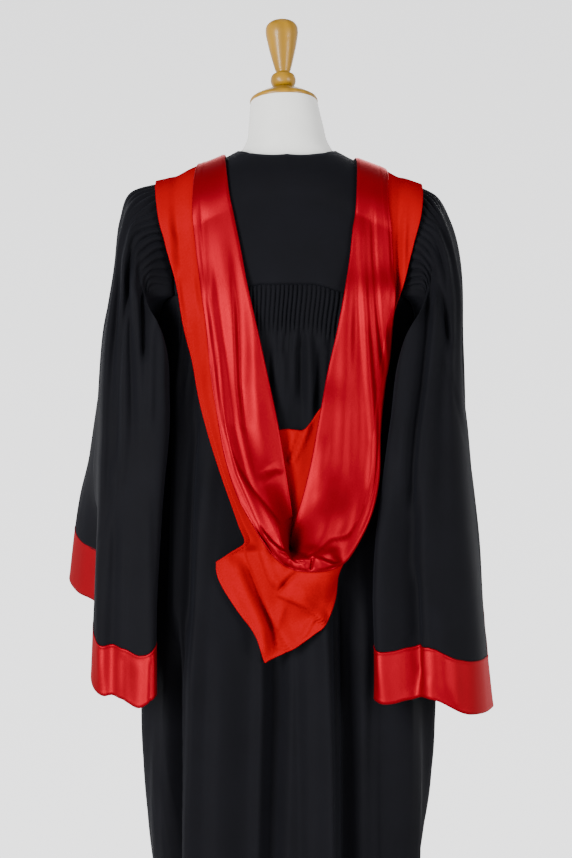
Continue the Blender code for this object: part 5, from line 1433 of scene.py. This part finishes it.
def varnished_wood(name, along=(1.0, 1.0, 0.12)):
    """Pale turned wood under clear varnish, with its grain along the piece."""
    made = Finish(name, WOOD, 0.38, Coat_Weight=0.08, Coat_Roughness=0.12, Specular_IOR_Level=0.12)
    where = made.coords("Object", scale=along)
    rings = made.waves(where, 0.011, 5.0, wave_type="BANDS", bands_direction="DIAGONAL")
    pores = made.noise(where, 420.0, 3.0)
    broad = made.noise(where, 24.0, 3.0)
    shade = made.math("ADD", made.math("MULTIPLY", rings, 0.45), made.math("MULTIPLY", broad, 0.6))
    made.link(made.tint(shade, 0.72, 1.30), "Base Color")
    made.link(made.ramp(pores, 0.30, 0.50), "Roughness")
    made.link(made.bump(made.math("ADD", pores, rings), 0.08, 0.0002), "Normal")
    return made.made


def thread(name, colour):
    """Sewing thread: two plies that show as a fine diagonal twist."""
    made = Finish(name, colour, 0.6, Sheen_Weight=0.3, Sheen_Roughness=0.4, Specular_IOR_Level=0.4)
    twist = made.waves(made.coords("Object", turn=math.radians(45)), 0.0007, 0.2)
    made.link(made.tint(twist, 0.85, 1.25), "Base Color")
    made.link(made.bump(twist, 0.3, 0.0001), "Normal")
    return made.made


# Making pieces


def mesh_of(name, points, faces, uvs=None):
    """A mesh, with a texture map in metres of cloth where it has one."""
    mesh = bpy.data.meshes.new(name)
    mesh.from_pydata(points, [], faces)
    if uvs:
        layer = mesh.uv_layers.new(name="cloth")
        corners = np.empty(len(mesh.loops), dtype=np.int32)
        mesh.loops.foreach_get("vertex_index", corners)
        layer.data.foreach_set("uv", np.array(uvs, dtype=np.float32)[corners].ravel())
    mesh.update()
    return mesh


def add_piece(name, mesh, finish, nodes=()):
    """A piece of the part, on its only body, in place of the CAD nodes that it shows."""
    made = bpy.data.objects.new(name, mesh)
    bpy.context.scene.collection.objects.link(made)
    mesh.materials.append(finish)
    mesh.shade_smooth()
    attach(made, "root")
    if nodes:
        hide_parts(*nodes)
    return made


def add_cloth(name, sheet, thickness, finish, nodes):
    """A cloth piece: its sheet as a shell with a real wall."""
    made = add_piece(name, mesh_of(name, sheet.points, sheet.faces, sheet.uvs), finish, nodes)
    wall = made.modifiers.new("wall", "SOLIDIFY")
    wall.thickness = thickness
    wall.offset = 0.0
    wall.use_even_offset = False
    return made


def add_tube(name, path, radius, finish, sides=8):
    """A thin roll of cloth along a path, closed at both ends."""
    path = np.array(path)
    tangents = unit(np.gradient(path, axis=0))
    across = unit(np.cross(tangents, np.array([0.13, 0.21, 0.97])))
    up = np.cross(tangents, across)
    angles = 2 * math.pi * np.arange(sides) / sides
    rows = [
        point + radius * (np.cos(angles)[:, None] * a + np.sin(angles)[:, None] * b)
        for point, a, b in zip(path, across, up)
    ]
    sheet = Sheet([rows], closed=True)
    close_ends(sheet, sides)
    return add_piece(name, mesh_of(name, sheet.points, sheet.faces), finish)


def add_stitches(name, path, normals, finish, length=0.0030, gap=0.0014, radius=0.00042):
    """A row of stitches along a path, each one a short bead of thread that dips in at both ends."""
    lengths = lengths_along(path)

    def at(where, values):
        return np.stack([np.interp(where, lengths, values[:, i]) for i in range(3)], -1)

    sides = 5
    shares = np.array((0.0, 0.18, 0.5, 0.82, 1.0))
    sizes = np.array((0.25, 0.85, 1.0, 0.85, 0.25))[:, None]
    angles = 2 * math.pi * np.arange(sides)[:, None, None] / sides
    points = []
    faces = []
    for start in np.arange(0.002, lengths[-1] - length, length + gap):
        spots = at(start + length * shares, path)
        ups = at(start + length * shares, normals)
        across = unit(np.cross(spots[-1] - spots[0], ups))
        centres = spots + ups * radius * (sizes - 0.35)
        bead = centres + radius * sizes * (across * np.cos(angles) + ups * np.sin(angles))
        first = len(points)
        for ring in range(len(shares) - 1):
            above, below = first + ring * sides, first + (ring + 1) * sides
            for k in range(sides):
                turned = (k + 1) % sides
                faces.append((above + k, above + turned, below + turned, below + k))
        last = first + (len(shares) - 1) * sides
        faces.append(tuple(first + k for k in range(sides))[::-1])
        faces.append(tuple(last + k for k in range(sides)))
        points += [tuple(p) for p in bead.swapaxes(0, 1).reshape(-1, 3)]
    return add_piece(name, mesh_of(name, points, faces), finish)


def sew(name, sheet, spot, finish, centre, block=0, lift=0.0006):
    """A row of stitches on a sheet: spot picks a row or a column of one of its blocks."""
    grid = sheet.grids[block]
    normals = outward(grid, grid_normals(grid), np.array(centre))
    path, ups = grid[spot], normals[spot]
    return add_stitches(name, path + ups * lift, ups, finish)


def curved_profile(profile, steps):
    """A turned piece's profile with soft curves between its points, down to its flat underside."""
    points = np.array(profile)
    curved = points[:-1]
    lengths = lengths_along(curved)
    track = Track([(at, *point) for at, point in zip(lengths, curved)])
    smooth = track.at(np.linspace(0, lengths[-1], steps))
    smooth[:, 0] = np.maximum(smooth[:, 0], 0.0)
    smooth[:, 1] = np.clip(smooth[:, 1], points[:, 1].min(), points[:, 1].max())
    smooth[0, 0] = 0.0
    return np.vstack([smooth, points[-1]])


def finish_mesh(build, mesh):
    """Turn all faces of a build outwards and write it to a mesh."""
    bmesh.ops.recalc_face_normals(build, faces=build.faces)
    build.to_mesh(mesh)
    build.free()


def add_turned(name, profile, place, finish, node, steps=72, sides=96, dense=True):
    """A turned wooden piece in place, smooth all round."""
    rows = curved_profile(profile, steps) if dense else profile
    build = bmesh.new()
    rings = []
    for radius, z in rows:
        angles = 2 * math.pi * np.arange(sides if radius > 1e-6 else 1) / sides
        places = [Vector((radius * math.cos(a), radius * math.sin(a), z)) for a in angles]
        rings.append([build.verts.new(place @ spot) for spot in places])
    for high, low in zip(rings, rings[1:]):
        for i in range(sides):
            j = (i + 1) % sides
            corners = [high[i % len(high)], low[i % len(low)], low[j % len(low)], high[j % len(high)]]
            unique = list(dict.fromkeys(corners))
            if len(unique) > 2:
                build.faces.new(unique)
    mesh = bpy.data.meshes.new(name)
    finish_mesh(build, mesh)
    made = add_piece(name, mesh, finish, (node,))
    mesh.set_sharp_from_angle(angle=math.radians(45))
    return made


def form_sheet():
    """The dress form's smooth body, as closed rings from its underside to the top of its neck."""
    track = Track(FORM)
    shoulder_z = 1.42
    levels = np.concatenate([
        np.linspace(FORM[0].z, shoulder_z, 70), np.linspace(shoulder_z, FORM[-1].z, 44)[1:]
    ])
    angles = 2 * math.pi * np.arange(120) / 120
    sines, cosines = np.sin(angles), np.cos(angles)
    power = 2 / FORM_POWER
    rows = []
    for level in levels:
        half_width, back, front, shift_x, shift_y, lean = track.at(level)
        x = half_width * np.sign(sines) * np.abs(sines) ** power
        y = -np.where(cosines > 0, back, front) * np.sign(cosines) * np.abs(cosines) ** power
        z = level - lean * (y + math.tan(CAP_SIDE_LEAN) / math.tan(CAP_LEAN) * x)
        rows.append(np.stack([x + shift_x, y + shift_y, z], -1))
    rows = np.array(rows)
    turns = [np.mod(angles - seam + math.pi, 2 * math.pi) - math.pi for seam in FORM_SEAMS]
    away = np.min(np.abs(turns), axis=0)
    groove = FORM_SEAM_DEPTH * np.exp(-((away / FORM_SEAM_REACH) ** 2)) * (rows[:, :1, 2] < FORM_SEAMS_END)
    inward = rows.mean(axis=1, keepdims=True) - rows
    inward[..., 2] = 0
    rows = rows + unit(inward) * groove[..., None]
    sheet = Sheet([rows[::-1]], closed=True)
    close_ends(sheet, len(angles))
    return sheet


def add_solid(name, sheet, finish, nodes):
    """A closed solid, with its faces turned outwards."""
    mesh = mesh_of(name, sheet.points, sheet.faces, sheet.uvs)
    build = bmesh.new()
    build.from_mesh(mesh)
    finish_mesh(build, mesh)
    made = add_piece(name, mesh, finish, nodes)
    mesh.set_sharp_from_angle(angle=math.radians(50))
    return made


def in_scene(made):
    """Add an object to the scene."""
    bpy.context.scene.collection.objects.link(made)
    return made


def add_light(light):
    """A soft rectangular light, turned to its target."""
    data = bpy.data.lights.new(light.name, "AREA")
    data.shape = "RECTANGLE"
    data.size, data.size_y = light.size
    data.energy = light.power
    made = in_scene(bpy.data.objects.new(light.name, data))
    made.location = light.place
    made.rotation_euler = (Vector(light.target) - Vector(light.place)).to_track_quat("-Z", "Y").to_euler()


def set_camera():
    """The photograph's camera, level and square to the gown's back."""
    data = bpy.data.cameras.new("camera")
    camera = in_scene(bpy.data.objects.new("camera", data))
    data.sensor_fit = "VERTICAL"
    data.sensor_height = SENSOR
    data.sensor_width = SENSOR
    data.lens = FOCAL_PIXELS / PICTURE_HEIGHT * SENSOR
    camera.location = (CAMERA_X, -CAMERA_DISTANCE, CAMERA_Z)
    camera.rotation_euler = (math.radians(90), 0, 0)
    bpy.context.scene.camera = camera


def set_floor():
    """A plain pale floor."""
    build = bmesh.new()
    bmesh.ops.create_circle(build, cap_ends=True, segments=128, radius=FLOOR_RADIUS)
    mesh = bpy.data.meshes.new("floor")
    build.to_mesh(mesh)
    build.free()
    floor = in_scene(bpy.data.objects.new("floor", mesh))
    paint = Finish("floor_paint", FLOOR, 0.7)
    paint.link(paint.tint(paint.noise(paint.coords("Object"), 3.0), 0.98, 1.02), "Base Color")
    mesh.materials.append(paint.made)


def set_world():
    """Soft light from all round, which falls off upwards."""
    world = bpy.data.worlds.new("studio")
    bpy.context.scene.world = world
    world.use_nodes = True
    tree = world.node_tree
    direction = tree.nodes.new("ShaderNodeTexCoord").outputs["Generated"]
    split = tree.nodes.new("ShaderNodeSeparateXYZ")
    tree.links.new(direction, split.inputs[0])
    rise = tree.nodes.new("ShaderNodeMapRange")
    tree.links.new(split.outputs["Z"], rise.inputs["Value"])
    rise.inputs["From Min"].default_value = -1.0
    ramp = tree.nodes.new("ShaderNodeValToRGB")
    tree.links.new(rise.outputs["Result"], ramp.inputs[0])
    elements = ramp.color_ramp.elements
    for z, _ in WORLD_LEVELS[1:-1]:
        elements.new((z + 1) / 2)
    for element, (_, level) in zip(elements, WORLD_LEVELS):
        element.color = (level, level, level * 1.01, 1.0)
    background = tree.nodes["Background"]
    tree.links.new(ramp.outputs["Color"], background.inputs["Color"])
    background.inputs["Strength"].default_value = WORLD_STRENGTH


def dress_gown(pieces, black, cuff_satin):
    """The gown's own pieces. Returns the sheets that others need, by the names of their nodes."""
    sheets = {}

    def dress(node, sheet, wall, finish=black, slot="black_cloth", cloth="cloth"):
        pieces[node] = add_cloth(f"{node}_{cloth}", sheet, wall, finish, (node,))
        sheets[node] = sheet

    dress("yoke", yoke_sheet(), BLACK_WALL)
    dress("back", back_sheet(), FINE_BLACK_WALL)
    sleeves = (("left", -1, LEFT_SLEEVE, LEFT_TROUGHS), ("right", 1, RIGHT_SLEEVE, RIGHT_TROUGHS))
    for name, side, rings, troughs in sleeves:
        tracks = sleeve_track(rings)
        dress(f"front_{name}", front_sheet(side), BLACK_WALL)
        dress(f"sleeve_{name}", sleeve_sheet(tracks, troughs, side, (name, "both")), FINE_BLACK_WALL)
        cuff = cuff_sheet(tracks, troughs, side, (name, "both"))
        dress(f"cuff_{name}", cuff, CUFF_WALL, cuff_satin, "red_satin", "satin")
    return sheets


def dress_hood(pieces, sheets, red, satin):
    """The hood's layers, each settled on what lies under it."""

    def dress(node, sheet, wall, finish, slot, cloth):
        pieces[node] = add_cloth(f"{node}_{cloth}", sheet, wall, finish, (node,))

    under = [sheet for node, sheet in sheets.items() if not node.startswith("cuff")]
    inner = hood_back_sheet(Support(under))
    dress("hood_back", inner, INNER_WALL, red, "red_cloth", "cloth")
    stations = hood_stations(HOOD_STEP)
    support = Support(under + [inner])
    shell = hood_shell_sheet(support, stations)
    dress("hood_shell", shell, SHELL_WALL, red, "red_cloth", "cloth")
    lining = hood_lining_sheet(support, Support([shell]), stations)
    dress("hood_lining", lining, LINING_WALL, satin, "red_satin", "satin")


def sew_gown(sheets, black):
    """The bound neck, and the stitched edges of the back and the fronts."""
    stitches = thread("black_thread", tuple(2 * c for c in BLACK))
    add_tube("neck_binding", sheets["yoke"].neck, BINDING_RADIUS, black)
    hem, edge = (-3, slice(None)), (slice(None), 3)
    behind, before = (0, 0.6, 0.8), (0, -0.6, 0.8)
    sew("hem_stitches_back", sheets["back"], hem, stitches, behind, block=1)
    for name in ("left", "right"):
        front = sheets[f"front_{name}"]
        sew(f"front_stitches_{name}", front, edge, stitches, before, lift=0.0008)
        sew(f"hem_stitches_{name}", front, hem, stitches, before, lift=0.0008)


def build_form(wood, grain):
    """The dress form with its cap and finial, and its stand."""
    add_solid("form_cover", form_sheet(), jersey(), ("form_body",))
    lean, side_lean = Matrix.Rotation(-CAP_LEAN, 4, "X"), Matrix.Rotation(CAP_SIDE_LEAN, 4, "Y")
    seat = Matrix.Translation(CAP_SEAT) @ lean @ side_lean
    add_turned("cap", CAP_PROFILE, seat, wood, "form_cap")
    add_turned("finial", FINIAL_PROFILE, seat, wood, "form_finial", 120)
    add_turned("base", BASE_PROFILE, Matrix(), grain, "stand_base", 60, 128)
    top, foot = FORM[0].z - SEAM_GAP, BASE_PROFILE[0].z + SEAM_GAP
    pole = named(PROFILE_COLUMNS, (0, top), (POLE_RADIUS, top), (POLE_RADIUS, foot), (0, foot))
    add_turned("pole", pole, Matrix(), wood, "stand_pole", dense=False)


set_camera()
set_floor()
set_world()
for light in LIGHTS:
    add_light(light)

black, red = black_wool(), red_wool()
satin = red_satin("red_satin")
cuff_satin = red_satin("cuff_satin", math.radians(90))
wood, grain = varnished_wood("varnished_wood"), varnished_wood("varnished_wood_flat", (1.0, 0.15, 1.0))
pieces = {}
sheets = dress_gown(pieces, black, cuff_satin)
dress_hood(pieces, sheets, red, satin)
sew_gown(sheets, black)
build_form(wood, grain)
